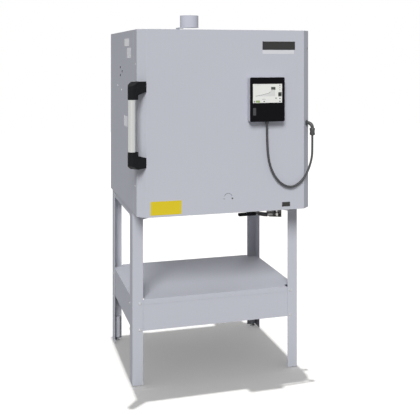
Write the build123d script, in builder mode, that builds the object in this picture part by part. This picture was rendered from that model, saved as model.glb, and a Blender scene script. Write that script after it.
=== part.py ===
"""Chamber kiln on its stand, with its swing door, controller and air inlet.

Frame: X to the right, Y to the back, Z up, in millimetres. The origin lies on the
floor below the middle of the casing, halfway between the door's front and the back.
"""

from build123d import *
import os
from math import atan2, degrees, radians, tan

os.makedirs("parts", exist_ok=True)

# Overall sizes and clearances
casing_width = 870
casing_depth = 850
casing_height = 880
stand_height = 855
clearance = 0.3
running_gap = 0.05

# Sheet metal of the casing and the door
sheet = 1.5
pan_sheet = 2
door_depth = 125
door_seam = 2
corner_fold = 40
fold_radius = 2.5
air_gap = 23.5
return_edge = 30
roof_lip = 15
panel_edge = 12
plug_hole_radius = 4
plug_cap_radius = 6
plug_dome = 2.5
screw_radius = 5
screw_head = 2.5
screw_margin = 40

# Chamber and lining
chamber_width = 400
chamber_height = 440
chamber_depth = 500
chamber_sill = 220
brick = 115
collar_width = 60
coil_rows = 4
coil_length = 440
coil_radius = 14
coil_wire = 4
coil_inset = 17
support_radius = 9.5
support_bore = 6
plate_height = 12
plate_margin = 10
probe_radius = 4
probe_reach = 50
probe_drop = 60
probe_head = 24

# Louvres, terminal cover and mains gland at the rear
louvre_width = 70
louvre_height = 14
louvre_proud = 9
louvre_pitch = 34
louvre_rows = 7
louvre_side = 250
louvre_drop = 300
terminal_x = 280
terminal_width = 180
terminal_height = 240
terminal_depth = 42
terminal_lift = 45
terminal_chamfer = 10
mains_radius = 12
mains_nut = 5
mains_length = 24

# Stand
leg_inset = 4.5
leg_front_setback = 173
leg_back_setback = 32
leg_sheet = 3
leg_front_flange = 52
leg_side_flange = 75
leg_floor_gap = 4
foot_sleeve_radius = 17
foot_sleeve_wall = 3
foot_sleeve_low = 20
foot_sleeve_height = 115
foot_sleeve_floor = 8
foot_sleeve_inset = 26
pad_radius = 15.5
pad_rim = 7
pad_height = 13
stud_radius = 6
stud_height = 60
rail_height = 36
rail_flange = 28
rail_tab = 8
rail_tab_run = 44
tray_sheet = 1.5
shelf_height = 420
shelf_lip = 26
apron_height = 128
apron_return = 20
notch_width = 55.5
notch_depth = 38
bolt_radius = 6.5
bolt_head = 4
bolt_inset = 37.5
bolt_side_setback = 61
bolt_side_drop = 9
bolt_margin = 6

# Exhaust
exhaust_x = -40
exhaust_y = 160
duct_radius = 44
duct_bore = 34
duct_stub = 10
duct_collar = 8
duct_collar_height = 4
pipe_radius = 51
pipe_wall = 1.5
pipe_length = 67
pipe_lift = 31
saddle_sheet = 3
saddle_width = 90
saddle_foot = 26
saddle_offset = 65
saddle_reach = 57

# Air inlet
inlet_x = 150
inlet_y = -180
inlet_radius = 30
inlet_bore = 22
inlet_drop = 43
inlet_collar = 6
lever_pivot_x = 310
lever_pivot_y = -272
lever_sheet = 3
lever_width = 24
lever_tang_width = 14
neck_width = 40
neck_reach = 78
neck_shift = 8
shutter_radius = 38
grip_gap = 4
grip_length = 92
grip_width = 22
grip_height = 15
grip_edge = 5
tang_length = 46
pivot_radius = 5
pivot_collar = 4
pivot_collar_height = 2
channel_width = 67
channel_right = 19
channel_depth = 42
channel_drop = 66
channel_slope = 6
channel_sheet = 2

# Hinges, catch and door switch
hinge_offset = 24
hinge_setback = 1
knuckle_radius = 12
knuckle_height = 36
pin_radius = 6
pin_height = 30
pin_collar = 2
leaf_sheet = 4
leaf_width = 60
leaf_height = 80
leaf_gap = 3
web_sheet = 8
upper_hinge_drop = 90
lower_hinge_lift = 90
catch_inset = 14
catch_width = 14
catch_height = 70
catch_depth = 24
catch_spacing = 330
strike_sheet = 1
strike_margin = 2
switch_height = 50
switch_offset = 345

# Door lining
plug_gap = 6
plug_depth = 60
plug_root = 30
plug_draft = 5.5
seal_inset = 5
seal_width = 45
liner_turn = 70
insulation_side = 35
insulation_front = 20
notch_size = 10
notch_height = 12
notch_drop = 84
side_screw_setback = 54
side_screw_low = 140
side_screw_high = 715

# Handle
handle_stand_off = 78
handle_radius = 17
handle_wall = 2.5
handle_low = 1087
handle_high = 1490
bracket_height = 82
bracket_foot = 48
bracket_slope = 20
bracket_skin = 3
bracket_half_width = 28
bracket_edge = 2
socket_depth = 32
socket_spare = 2

# Controller
controller_left = 100
controller_width = 177
controller_low = 1293
controller_height = 213
controller_proud = 41
controller_corner = 6
controller_edge = 1
housing_wall = 2.5
holder_sheet = 3
holder_margin = 8
fascia_sheet = 4
display_width = 149
display_height = 91
display_margin = 14
display_top = 31.5
glass_sheet = 1.5
port_width = 16
port_height = 36
port_top = 146
port_left = 14
port_floor = 1
port_slot_width = 5.5
port_slot_height = 12.5
cover_sheet = 2.5
cover_pin_radius = 0.8
cover_pin_length = 1.5

# Control cable
cable_radius = 5.5
gland_x = 195
gland_y = -440
gland_radius = 9
gland_length = 14
gland_dome = 5
gland_taper = 15
elbow_radius = 8.5
elbow_bend = 25
elbow_stub = 8
elbow_drop = 15
elbow_nut_radius = 13
elbow_nut_height = 7
connector_radius = 12
connector_length = 36
connector_ring = 1.2
connector_ring_height = 9

left = -casing_width / 2
right = casing_width / 2
front = -casing_depth / 2
back = casing_depth / 2
roof = stand_height + casing_height
door_back = front + door_depth
face = door_back + door_seam
pan_top = stand_height + pan_sheet
inner_wall = right - sheet - air_gap
lining_side = inner_wall - sheet
lining_low = pan_top + sheet
inner_top = roof - sheet - air_gap
lining_high = inner_top - sheet
lining_front = face + 2 * sheet
inner_back = back - sheet - air_gap
lining_back = inner_back - sheet
chamber_side = chamber_width / 2
chamber_low = stand_height + chamber_sill
chamber_high = chamber_low + chamber_height
chamber_back = lining_front + chamber_depth
brick_side = chamber_side + brick
brick_low = chamber_low - brick
brick_high = chamber_high + brick
brick_back = chamber_back + brick
door_middle = (stand_height + roof) / 2
inlet = (inlet_x, inlet_y)
exhaust = (exhaust_x, exhaust_y)
corners = [(side, end) for side in (-1, 1) for end in (-1, 1)]


def keep(piece, name):
    """Label a finished piece and write its STEP file."""
    piece.part.label = name
    export_step(piece.part, f"parts/{name}.step")


def block(x_ends, y_ends, z_ends, mode=Mode.ADD):
    """A rectangular block between its ends, in the part that is being built."""
    spans = [sorted(ends) for ends in (x_ends, y_ends, z_ends)]
    with Locations(tuple((low + high) / 2 for low, high in spans)):
        Box(*(high - low for low, high in spans), mode=mode)


def rod(centre, radius, z_ends, mode=Mode.ADD):
    """An upright cylinder between its ends, in the part that is being built."""
    low, high = sorted(z_ends)
    with Locations((centre[0], centre[1], (low + high) / 2)):
        Cylinder(radius, high - low, mode=mode)


# Legs: an L profile with a foot sleeve welded into its corner
leg_front = front + leg_front_setback
leg_back = back - leg_back_setback
leg_side = right - leg_inset


def leg_corner(side, end):
    """The outer corner of a leg, where side and end are -1 or 1."""
    return side * leg_side, leg_front if end < 0 else leg_back


def sleeve_axis(side, end):
    """The upright axis of a leg's foot sleeve."""
    corner_x, corner_y = leg_corner(side, end)
    seat = leg_sheet + foot_sleeve_radius - clearance
    return corner_x - side * foot_sleeve_inset, corner_y - end * seat


def make_leg(name, side, end):
    corner_x, corner_y = leg_corner(side, end)
    run_x = corner_x - side * leg_front_flange
    run_y = corner_y - end * leg_side_flange
    inner_x = corner_x - side * leg_sheet
    inner_y = corner_y - end * leg_sheet
    axis = sleeve_axis(side, end)
    sleeve_high = foot_sleeve_low + foot_sleeve_height
    sleeve_floor = foot_sleeve_low + foot_sleeve_floor
    sleeve_bore = foot_sleeve_radius - foot_sleeve_wall
    with BuildPart() as leg:
        with BuildSketch(Plane.XY.offset(leg_floor_gap)) as profile:
            with BuildLine():
                Polyline(
                    (corner_x, corner_y), (run_x, corner_y), (run_x, inner_y),
                    (inner_x, inner_y), (inner_x, run_y), (corner_x, run_y),
                    close=True,
                )
            make_face()
            fillet(profile.vertices().sort_by_distance((corner_x, corner_y))[0], leg_sheet)
        extrude(amount=stand_height - leg_floor_gap)
        rod(axis, foot_sleeve_radius, (foot_sleeve_low, sleeve_high))
        rod(axis, sleeve_bore, (sleeve_floor, sleeve_high), mode=Mode.SUBTRACT)
        rod(axis, stud_radius + running_gap, (foot_sleeve_low, sleeve_floor), Mode.SUBTRACT)
    keep(leg, name)


make_leg("leg_front_left", -1, -1)
make_leg("leg_front_right", 1, -1)
make_leg("leg_rear_left", -1, 1)
make_leg("leg_rear_right", 1, 1)

# Levelling feet: a flared pad with a stud that screws into the sleeve's floor
with BuildPart() as levelling_feet:
    for side, end in corners:
        foot = (*sleeve_axis(side, end), 0)
        with BuildSketch(Plane(origin=foot, x_dir=(1, 0, 0), z_dir=(0, -1, 0))):
            Polygon(
                (0, 0), (pad_radius, 0), (pad_radius, pad_rim), (stud_radius, pad_height),
                (stud_radius, stud_height), (0, stud_height), align=None,
            )
        revolve(axis=Axis(foot, (0, 0, 1)))
keep(levelling_feet, "levelling_feet")

# Top frame: angle rails between the legs, under the floor pan. The front and rear
# rails have deeper ends where they are bolted to the legs.
rail_low = stand_height - rail_height
rail_side = leg_side - leg_sheet
rail_front = leg_front + leg_sheet
rail_back = leg_back - leg_sheet
rail_shelf = (stand_height - leg_sheet, stand_height)
tab_low = rail_low - rail_tab
flange_edge = leg_side - leg_front_flange
with BuildPart() as top_frame:
    for end, edge in ((-1, rail_front), (1, rail_back)):
        inner = edge - end * leg_sheet
        with BuildSketch(Plane(origin=(0, edge, 0), x_dir=(end, 0, 0), z_dir=(0, -end, 0))):
            Polygon(
                (-rail_side, stand_height), (-rail_side, tab_low), (-flange_edge, tab_low),
                (rail_tab_run - flange_edge, rail_low), (flange_edge - rail_tab_run, rail_low),
                (flange_edge, tab_low), (rail_side, tab_low), (rail_side, stand_height),
                align=None,
            )
        extrude(amount=leg_sheet)
        block((-rail_side, rail_side), (inner, edge - end * rail_flange), rail_shelf)
    rail_start = rail_front + rail_flange + clearance
    rail_end = rail_back - rail_flange - clearance
    for side in (-1, 1):
        outer = side * rail_side
        inner = outer - side * leg_sheet
        block((outer, inner), (rail_start, rail_end), (rail_low, stand_height))
        block((inner, outer - side * rail_flange), (rail_start, rail_end), rail_shelf)
keep(top_frame, "top_frame")

# Shelf tray: its edges are turned down and its corners notched round the legs
tray_side = rail_side
tray_front = rail_front - tray_sheet
tray_back = rail_back + tray_sheet
tray_low = shelf_height - shelf_lip
tray_under = shelf_height - tray_sheet
notch_x = tray_side - notch_width
with BuildPart() as shelf_tray:
    block((-tray_side, tray_side), (tray_front, tray_back), (tray_under, shelf_height))
    for side, end in corners:
        edge = tray_front if end < 0 else tray_back
        block(
            (side * notch_x, side * tray_side), (edge, edge - end * notch_depth),
            (tray_under, shelf_height), mode=Mode.SUBTRACT,
        )
    for end, edge in ((-1, tray_front), (1, tray_back)):
        block((-notch_x, notch_x), (edge, edge - end * tray_sheet), (tray_low, shelf_height))
    for side in (-1, 1):
        outer = side * tray_side
        block(
            (outer, outer - side * tray_sheet),
            (tray_front + notch_depth, tray_back - notch_depth), (tray_low, shelf_height),
        )
keep(shelf_tray, "shelf_tray")

# Apron frame: channel panels that hang inside the tray's lip and behind the legs
apron_low = tray_low - apron_height
apron_side = tray_side - tray_sheet
apron_span = apron_side - sheet - clearance
with BuildPart() as apron_frame:
    for end, edge in ((-1, rail_front), (1, rail_back)):
        web = edge - end * sheet
        block((-apron_span, apron_span), (edge, web), (apron_low, tray_under))
        for low in (apron_low, tray_under - sheet):
            block((-notch_x, notch_x), (web, edge - end * apron_return), (low, low + sheet))
    flange_start = rail_front + leg_side_flange
    flange_end = rail_back - leg_side_flange
    for side in (-1, 1):
        outer = side * apron_side
        web = outer - side * sheet
        block((outer, web), (rail_front, rail_back), (apron_low, tray_under))
        for low in (apron_low, tray_under - sheet):
            block(
                (web, outer - side * apron_return), (flange_start, flange_end),
                (low, low + sheet),
            )
keep(apron_frame, "apron_frame")

# Stand bolts: hexagon heads on the outer faces of the legs
apron_bolt_levels = (tray_low + bolt_margin, apron_low + bolt_margin)
rail_bolt_level = (rail_low + stand_height) / 2
with BuildPart() as stand_bolts:
    heads = []
    for side, end in corners:
        corner_x, corner_y = leg_corner(side, end)
        for level in apron_bolt_levels:
            spot = (corner_x - side * bolt_inset, corner_y, level)
            heads.append(Plane(origin=spot, z_dir=(0, end, 0)))
        for level in (*apron_bolt_levels, rail_bolt_level):
            spot = (corner_x, corner_y - end * bolt_side_setback, level - bolt_side_drop)
            heads.append(Plane(origin=spot, z_dir=(side, 0, 0)))
    with BuildSketch(*heads):
        RegularPolygon(bolt_radius, 6)
    extrude(amount=bolt_head)
keep(stand_bolts, "stand_bolts")

# Floor pan of the casing, with the hole of the air inlet
with BuildPart() as casing_floor_pan:
    block((left + sheet, right - sheet), (face + sheet, back - sheet), (stand_height, pan_top))
    rod(inlet, inlet_radius + clearance, (stand_height, pan_top), Mode.SUBTRACT)
keep(casing_floor_pan, "casing_floor_pan")

# Side panels with their front and rear edges turned in. The left one has small
# holes closed by plugs, and openings for the catch magnets and the door switch.
plug_holes = ((82, 1550), (24, 1530), (82, 1509), (166, 1452), (40, 1434))
plug_planes = [Plane(origin=(left, y, z), z_dir=(-1, 0, 0)) for y, z in plug_holes]
catch_x = left + catch_inset
catch_levels = (door_middle - catch_spacing / 2, door_middle + catch_spacing / 2)
switch_level = door_middle + switch_offset


def catch_openings():
    """Cut the openings of the magnets and the switch through the front sheets."""
    half = catch_width / 2 + clearance
    for level, height in (
        (catch_levels[0], catch_height), (catch_levels[1], catch_height),
        (switch_level, switch_height),
    ):
        reach = height / 2 + clearance
        block(
            (catch_x - half, catch_x + half), (face, lining_front),
            (level - reach, level + reach), mode=Mode.SUBTRACT,
        )


def make_side_panel(name, side):
    outer = side * right
    turned = outer - side * return_edge
    with BuildPart() as panel:
        block((outer, outer - side * sheet), (face, back), (stand_height, roof - sheet))
        for edge, end in ((face, -1), (back, 1)):
            block((outer, turned), (edge, edge - end * sheet), (stand_height, roof - sheet))
        if side < 0:
            with BuildSketch(*plug_planes):
                Circle(plug_hole_radius)
            extrude(amount=-sheet, mode=Mode.SUBTRACT)
            catch_openings()
    keep(panel, name)


make_side_panel("casing_side_left", -1)
make_side_panel("casing_side_right", 1)

# Roof panel: a lid with its edge turned down inside the side panels
lip_side = right - sheet - clearance
lip_ends = (lining_front + clearance, back - sheet - clearance)
lip_levels = (roof - sheet - roof_lip, roof - sheet)
with BuildPart() as casing_roof:
    block((left, right), (face, back), (roof - sheet, roof))
    block((-lip_side, lip_side), lip_ends, lip_levels)
    block(
        (sheet - lip_side, lip_side - sheet), (lip_ends[0] + sheet, lip_ends[1] - sheet),
        lip_levels, mode=Mode.SUBTRACT,
    )
    rod(exhaust, duct_radius + clearance, (roof - sheet, roof), Mode.SUBTRACT)
keep(casing_roof, "casing_roof")

# Front frame: closes the casing round the mouth of the chamber
with BuildPart() as casing_front_frame:
    mouth_side = chamber_side + collar_width
    mouth_levels = (chamber_low - collar_width, chamber_high + collar_width)
    block((-lip_side, lip_side), (face + sheet, lining_front), (pan_top, roof - sheet))
    block((-mouth_side, mouth_side), (face, lining_front), mouth_levels, mode=Mode.SUBTRACT)
    catch_openings()
keep(casing_front_frame, "casing_front_frame")

# Rear panel with pressed louvres that open downwards
with BuildPart() as casing_rear_panel:
    block(
        (left + panel_edge, right - panel_edge), (back, back + sheet),
        (stand_height + panel_edge, roof - panel_edge),
    )
    for side in (-1, 1):
        for row in range(louvre_rows):
            level = roof - louvre_drop + (row - (louvre_rows - 1) / 2) * louvre_pitch
            corner = (side * louvre_side - louvre_width / 2, back, level)
            hood = Plane(origin=corner, x_dir=(0, 1, 0), z_dir=(1, 0, 0))
            with BuildSketch(hood):
                Polygon(
                    (0, louvre_height), (sheet, louvre_height), (louvre_proud, sheet),
                    (louvre_proud, 0), (0, 0), align=None,
                )
            extrude(amount=louvre_width)
            with BuildSketch(hood.offset(sheet)):
                Polygon(
                    (0, louvre_height - 2 * sheet), (louvre_proud - sheet, 0), (0, 0),
                    align=None,
                )
            extrude(amount=louvre_width - 2 * sheet, mode=Mode.SUBTRACT)
keep(casing_rear_panel, "casing_rear_panel")

# Terminal cover at the rear, a box with chamfered edges, and the mains gland below it
terminal_low = stand_height + terminal_lift
terminal_ends = (terminal_x - terminal_width / 2, terminal_x + terminal_width / 2)
terminal_back = back + sheet
mains_spot = (terminal_x, terminal_back + (terminal_depth - terminal_chamfer) / 2)
with BuildPart() as terminal_cover:
    block(
        terminal_ends, (terminal_back, terminal_back + terminal_depth),
        (terminal_low, terminal_low + terminal_height),
    )
    chamfer(terminal_cover.faces().sort_by(Axis.Y)[-1].edges(), terminal_chamfer)
    offset(amount=-sheet, openings=terminal_cover.faces().sort_by(Axis.Y)[0])
    rod(mains_spot, mains_radius, (terminal_low, terminal_low + sheet), Mode.SUBTRACT)
keep(terminal_cover, "terminal_cover")

mains_low = terminal_low - mains_length
mains_high = terminal_low + 2 * sheet
with BuildPart() as mains_gland:
    with BuildSketch(Plane.XY.offset(terminal_low)):
        with Locations(mains_spot):
            RegularPolygon(mains_radius + sheet, 6, major_radius=False)
    extrude(amount=-mains_nut)
    rod(mains_spot, mains_radius - sheet, (mains_low, terminal_low))
    rod(mains_spot, mains_radius - clearance, (terminal_low, mains_high))
    rod(mains_spot, mains_radius / 2, (mains_low, mains_high), Mode.SUBTRACT)
keep(mains_gland, "mains_gland")

# Inner casing round the insulation, with an air gap to the outer sheets
probe_level = chamber_high - probe_drop
probe_plane = Plane(origin=(0, inner_back, probe_level), z_dir=(0, -1, 0))
with BuildPart() as inner_casing:
    block((-inner_wall, inner_wall), (lining_front, inner_back), (pan_top, inner_top))
    block(
        (-lining_side, lining_side), (lining_front, lining_back), (lining_low, lining_high),
        mode=Mode.SUBTRACT,
    )
    rod(inlet, inlet_radius + clearance, (pan_top, lining_low), Mode.SUBTRACT)
    rod(exhaust, duct_radius + clearance, (lining_high, inner_top), Mode.SUBTRACT)
    with BuildSketch(probe_plane):
        Circle(probe_radius + clearance)
    extrude(amount=sheet, mode=Mode.SUBTRACT)
keep(inner_casing, "inner_casing")

# Back-up insulation: boards between the bricks and the inner casing
with BuildPart() as backup_insulation:
    board_ends = (lining_front, lining_back)
    block((-lining_side, lining_side), board_ends, (lining_low, brick_low))
    block((-lining_side, lining_side), board_ends, (brick_high, lining_high))
    for side in (-1, 1):
        block((side * brick_side, side * lining_side), board_ends, (brick_low, brick_high))
    block((-brick_side, brick_side), (brick_back, lining_back), (brick_low, brick_high))
    rod(inlet, inlet_radius + clearance, (lining_low, brick_low), Mode.SUBTRACT)
    rod(exhaust, duct_radius + clearance, (brick_high, lining_high), Mode.SUBTRACT)
    with BuildSketch(probe_plane):
        Circle(probe_radius + clearance)
    extrude(amount=inner_back - brick_back, mode=Mode.SUBTRACT)
keep(backup_insulation, "backup_insulation")

# Brick side walls, with a groove for every heating coil
coil_pitch = chamber_height / coil_rows
coil_levels = [chamber_low + (row + 0.5) * coil_pitch for row in range(coil_rows)]
coil_front = lining_front + (chamber_depth - coil_length) / 2
groove_radius = coil_radius + clearance
groove_ends = (coil_front - clearance, coil_front + coil_length + clearance)


def coil_planes(side, start):
    """Planes across the coil axes of one side wall, facing the back."""
    axis_x = side * (chamber_side + coil_inset)
    return [Plane(origin=(axis_x, start, z), z_dir=(0, 1, 0)) for z in coil_levels]


def make_brick_wall(name, side):
    inner = side * chamber_side
    with BuildPart() as wall:
        block((inner, side * brick_side), (lining_front, brick_back), (brick_low, chamber_high))
        with BuildSketch(*coil_planes(side, groove_ends[0])):
            Circle(groove_radius)
        extrude(amount=groove_ends[1] - groove_ends[0], mode=Mode.SUBTRACT)
        for level in coil_levels:
            block(
                (inner, inner + side * coil_inset), groove_ends,
                (level - groove_radius, level + groove_radius), mode=Mode.SUBTRACT,
            )
    keep(wall, name)


make_brick_wall("brick_wall_left", -1)
make_brick_wall("brick_wall_right", 1)

with BuildPart() as brick_wall_rear:
    block((-chamber_side, chamber_side), (chamber_back, brick_back), (chamber_low, chamber_high))
    with BuildSketch(probe_plane):
        Circle(probe_radius + clearance)
    extrude(amount=inner_back - chamber_back, mode=Mode.SUBTRACT)
keep(brick_wall_rear, "brick_wall_rear")

with BuildPart() as brick_floor:
    block((-chamber_side, chamber_side), (lining_front, brick_back), (brick_low, chamber_low))
    rod(inlet, inlet_radius + clearance, (brick_low, chamber_low), Mode.SUBTRACT)
keep(brick_floor, "brick_floor")

with BuildPart() as brick_roof:
    block((-brick_side, brick_side), (lining_front, brick_back), (chamber_high, brick_high))
    rod(exhaust, duct_radius + clearance, (chamber_high, brick_high), Mode.SUBTRACT)
keep(brick_roof, "brick_roof")

# Ceramic support tubes with the heating coils round them
coil_axes = coil_planes(-1, coil_front) + coil_planes(1, coil_front)
with BuildPart() as support_tubes:
    with BuildSketch(*coil_axes):
        Circle(support_radius)
        Circle(support_bore, mode=Mode.SUBTRACT)
    extrude(amount=coil_length)
keep(support_tubes, "support_tubes")

with BuildPart() as heating_coils:
    with BuildSketch(*coil_axes):
        Circle(coil_radius)
        Circle(coil_radius - coil_wire, mode=Mode.SUBTRACT)
    extrude(amount=coil_length)
keep(heating_coils, "heating_coils")

# Floor plate over the brick floor, with the mouth of the air inlet
with BuildPart() as floor_plate:
    plate_side = chamber_side - plate_margin
    plate_ends = (lining_front + plug_depth + plate_margin, chamber_back - plate_margin)
    plate_levels = (chamber_low, chamber_low + plate_height)
    block((-plate_side, plate_side), plate_ends, plate_levels)
    rod(inlet, inlet_bore, plate_levels, Mode.SUBTRACT)
keep(floor_plate, "floor_plate")

# Thermocouple: a sheath through the rear wall and its head in the air gap
with BuildPart() as thermocouple:
    with BuildSketch(probe_plane):
        Circle(probe_radius)
    extrude(amount=inner_back - chamber_back + probe_reach)
    block(
        (-probe_head / 2, probe_head / 2), (inner_back, back - sheet - clearance),
        (probe_level - probe_head / 2, probe_level + probe_head / 2),
    )
keep(thermocouple, "thermocouple")

# Exhaust duct with a collar that rests on the inner casing
with BuildPart() as exhaust_duct:
    rod(exhaust, duct_radius, (chamber_high, roof + duct_stub))
    rod(exhaust, duct_radius + duct_collar, (inner_top, inner_top + duct_collar_height))
    rod(exhaust, duct_bore, (chamber_high, roof + duct_stub), Mode.SUBTRACT)
keep(exhaust_duct, "exhaust_duct")

# Exhaust pipe above the duct, welded to its bent bracket
pipe_low = roof + pipe_lift
pipe_high = pipe_low + pipe_length
saddle_x = exhaust_x - saddle_offset
saddle_edge = (0, exhaust_y + saddle_width / 2, 0)
with BuildPart() as exhaust_pipe:
    with BuildSketch(Plane(origin=saddle_edge, x_dir=(1, 0, 0), z_dir=(0, -1, 0))):
        Polygon(
            (saddle_x - saddle_foot, roof),
            (saddle_x + saddle_sheet, roof),
            (saddle_x + saddle_sheet, pipe_low - saddle_sheet),
            (saddle_x + saddle_reach, pipe_low - saddle_sheet),
            (saddle_x + saddle_reach, pipe_low),
            (saddle_x, pipe_low),
            (saddle_x, roof + saddle_sheet),
            (saddle_x - saddle_foot, roof + saddle_sheet),
            align=None,
        )
    extrude(amount=saddle_width)
    rod(exhaust, pipe_radius, (pipe_low, pipe_high))
    rod(exhaust, pipe_radius - pipe_wall, (pipe_low - saddle_sheet, pipe_high), Mode.SUBTRACT)
keep(exhaust_pipe, "exhaust_pipe")

# Casing screws: heads on the rear panel and the exhaust bracket, plugs of the left panel
screw_levels = (stand_height + screw_margin, door_middle, roof - screw_margin)
foot_screw_x = saddle_x - saddle_foot / 2
foot_screw_reach = saddle_width / 2 - 2 * screw_radius
with BuildPart() as casing_screws:
    heads = []
    for side in (-1, 1):
        for level in screw_levels:
            spot = (side * (right - 2 * panel_edge), back + sheet, level)
            heads.append(Plane(origin=spot, z_dir=(0, 1, 0)))
        spot = (foot_screw_x, exhaust_y + side * foot_screw_reach, roof + saddle_sheet)
        heads.append(Plane(origin=spot))
    with BuildSketch(*heads):
        RegularPolygon(screw_radius, 6)
    extrude(amount=screw_head)
    with BuildSketch(*plug_planes):
        Circle(plug_cap_radius)
    extrude(amount=plug_dome, taper=30)
    with BuildSketch(*plug_planes):
        Circle(plug_hole_radius - running_gap)
    extrude(amount=-2 * sheet)
keep(casing_screws, "casing_screws")

# Air inlet tube through the floor, with a collar under the pan
inlet_low = stand_height - inlet_drop
with BuildPart() as air_inlet_tube:
    rod(inlet, inlet_radius, (inlet_low, chamber_low))
    rod(inlet, inlet_radius + inlet_collar, (stand_height - inlet_collar, stand_height))
    rod(inlet, inlet_bore, (inlet_low, chamber_low), Mode.SUBTRACT)
keep(air_inlet_tube, "air_inlet_tube")

# Bracket of the air inlet: a channel under the pan with an upright pivot pin
pivot = (lever_pivot_x, lever_pivot_y)
lever_top = inlet_low - clearance
lever_low = lever_top - lever_sheet
channel_x = lever_pivot_x + channel_right
channel_low = stand_height - channel_drop
channel_open = channel_x - channel_width
channel_edge = (0, lever_pivot_y + channel_depth / 2, 0)
with BuildPart() as air_inlet_bracket:
    with BuildSketch(Plane(origin=channel_edge, x_dir=(1, 0, 0), z_dir=(0, -1, 0))):
        Polygon(
            (channel_open, stand_height), (channel_x, stand_height), (channel_x, channel_low),
            (channel_open, channel_low + channel_slope),
            (channel_open, channel_low + channel_slope + channel_sheet),
            (channel_x - channel_sheet, channel_low + channel_sheet),
            (channel_x - channel_sheet, stand_height - channel_sheet),
            (channel_open, stand_height - channel_sheet),
            align=None,
        )
    extrude(amount=channel_depth)
    spacer_low = channel_low + channel_slope / 2
    collar_low = lever_top + clearance
    rod(pivot, pivot_radius, (spacer_low, stand_height))
    rod(pivot, pivot_radius + pivot_collar, (spacer_low, lever_low - clearance))
    rod(pivot, pivot_radius + pivot_collar, (collar_low, collar_low + pivot_collar_height))
keep(air_inlet_bracket, "air_inlet_bracket")

# Lever of the air inlet: arm, neck and shutter disc in one sheet, with a tang
grip_end = inlet_x + grip_length / 2
arm_end = grip_end + grip_gap + lever_width / 2
tang_tip = grip_end - tang_length
neck_root = Vector(lever_pivot_x - neck_reach, lever_pivot_y + neck_shift)
neck_line = Vector(*inlet) - neck_root
with BuildPart() as air_inlet_lever:
    with BuildSketch(Plane.XY.offset(lever_low)):
        with Locations(((arm_end + lever_pivot_x) / 2, lever_pivot_y)):
            SlotCenterToCenter(lever_pivot_x - arm_end, lever_width)
        with Locations(((tang_tip + arm_end) / 2, lever_pivot_y)):
            Rectangle(arm_end - tang_tip, lever_tang_width)
        with Locations(neck_root + neck_line / 2):
            turn = degrees(atan2(neck_line.Y, neck_line.X))
            SlotCenterToCenter(neck_line.length, neck_width, rotation=turn)
        with Locations(inlet):
            Circle(shutter_radius)
        with Locations(pivot):
            Circle(pivot_radius + running_gap, mode=Mode.SUBTRACT)
    extrude(amount=lever_sheet)
keep(air_inlet_lever, "air_inlet_lever")

# Moulded grip pushed onto the lever's tang
grip_middle = (lever_low + lever_top) / 2
half_tang = lever_tang_width / 2 + running_gap
with BuildPart() as air_inlet_grip:
    block(
        (grip_end - grip_length, grip_end),
        (lever_pivot_y - grip_width / 2, lever_pivot_y + grip_width / 2),
        (grip_middle - grip_height / 2, grip_middle + grip_height / 2),
    )
    fillet(air_inlet_grip.edges(), grip_edge)
    block(
        (tang_tip - clearance, grip_end), (lever_pivot_y - half_tang, lever_pivot_y + half_tang),
        (lever_low - running_gap, lever_top + running_gap), mode=Mode.SUBTRACT,
    )
keep(air_inlet_grip, "air_inlet_grip")

# Door shell: the front sheet folded back over both upright edges
with BuildPart() as door_shell:
    with BuildSketch(Plane.XY.offset(stand_height)):
        Polygon(
            (left, door_back), (left, front + corner_fold), (left + corner_fold, front),
            (right - corner_fold, front), (right, front + corner_fold), (right, door_back),
            align=None,
        )
    extrude(amount=casing_height)
    fillet(door_shell.edges().filter_by(Axis.Z).sort_by(Axis.Y)[:4], fold_radius)
    offset(amount=-sheet, openings=door_shell.faces().sort_by(Axis.Y)[-1])
    fold_y = front + corner_fold
    notch_top = roof - notch_drop
    block(
        (right - notch_size, right), (fold_y - notch_size, fold_y + notch_size / 2),
        (notch_top - notch_height, notch_top), mode=Mode.SUBTRACT,
    )
keep(door_shell, "door_shell")

# Door liner: a tray turned forward at its edges, open where the plug passes
plug_side = chamber_side - plug_gap
plug_levels = (chamber_low + plug_gap, chamber_high - plug_gap)
plug_opening = (-plug_side - clearance, plug_side + clearance)
plug_opening_levels = (plug_levels[0] - clearance, plug_levels[1] + clearance)
liner_back = door_back - sheet
liner_levels = (stand_height + sheet + clearance, roof - sheet - clearance)
with BuildPart() as door_liner:
    block((-lip_side, lip_side), (door_back - liner_turn, door_back), liner_levels)
    offset(amount=-sheet, openings=door_liner.faces().sort_by(Axis.Y)[0])
    block(plug_opening, (liner_back, door_back), plug_opening_levels, mode=Mode.SUBTRACT)
keep(door_liner, "door_liner")

# Insulation board of the door, with the pocket of the plug
plug_start = door_back - plug_root
insulation_reach = right - insulation_side
insulation_levels = (stand_height + insulation_side, roof - insulation_side)
with BuildPart() as door_insulation:
    insulation_ends = (front + insulation_front, liner_back)
    block((-insulation_reach, insulation_reach), insulation_ends, insulation_levels)
    block(plug_opening, (plug_start, liner_back), plug_opening_levels, mode=Mode.SUBTRACT)
keep(door_insulation, "door_insulation")

# Brick plug that enters the mouth of the chamber
plug_face = (0, door_back, sum(plug_levels) / 2)
with BuildPart() as door_plug:
    block((-plug_side, plug_side), (plug_start, door_back), plug_levels)
    with BuildSketch(Plane(origin=plug_face, x_dir=(1, 0, 0), z_dir=(0, 1, 0))):
        Rectangle(2 * plug_side, plug_levels[1] - plug_levels[0])
    extrude(amount=door_seam + plug_depth, taper=plug_draft)
keep(door_plug, "door_plug")

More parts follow.
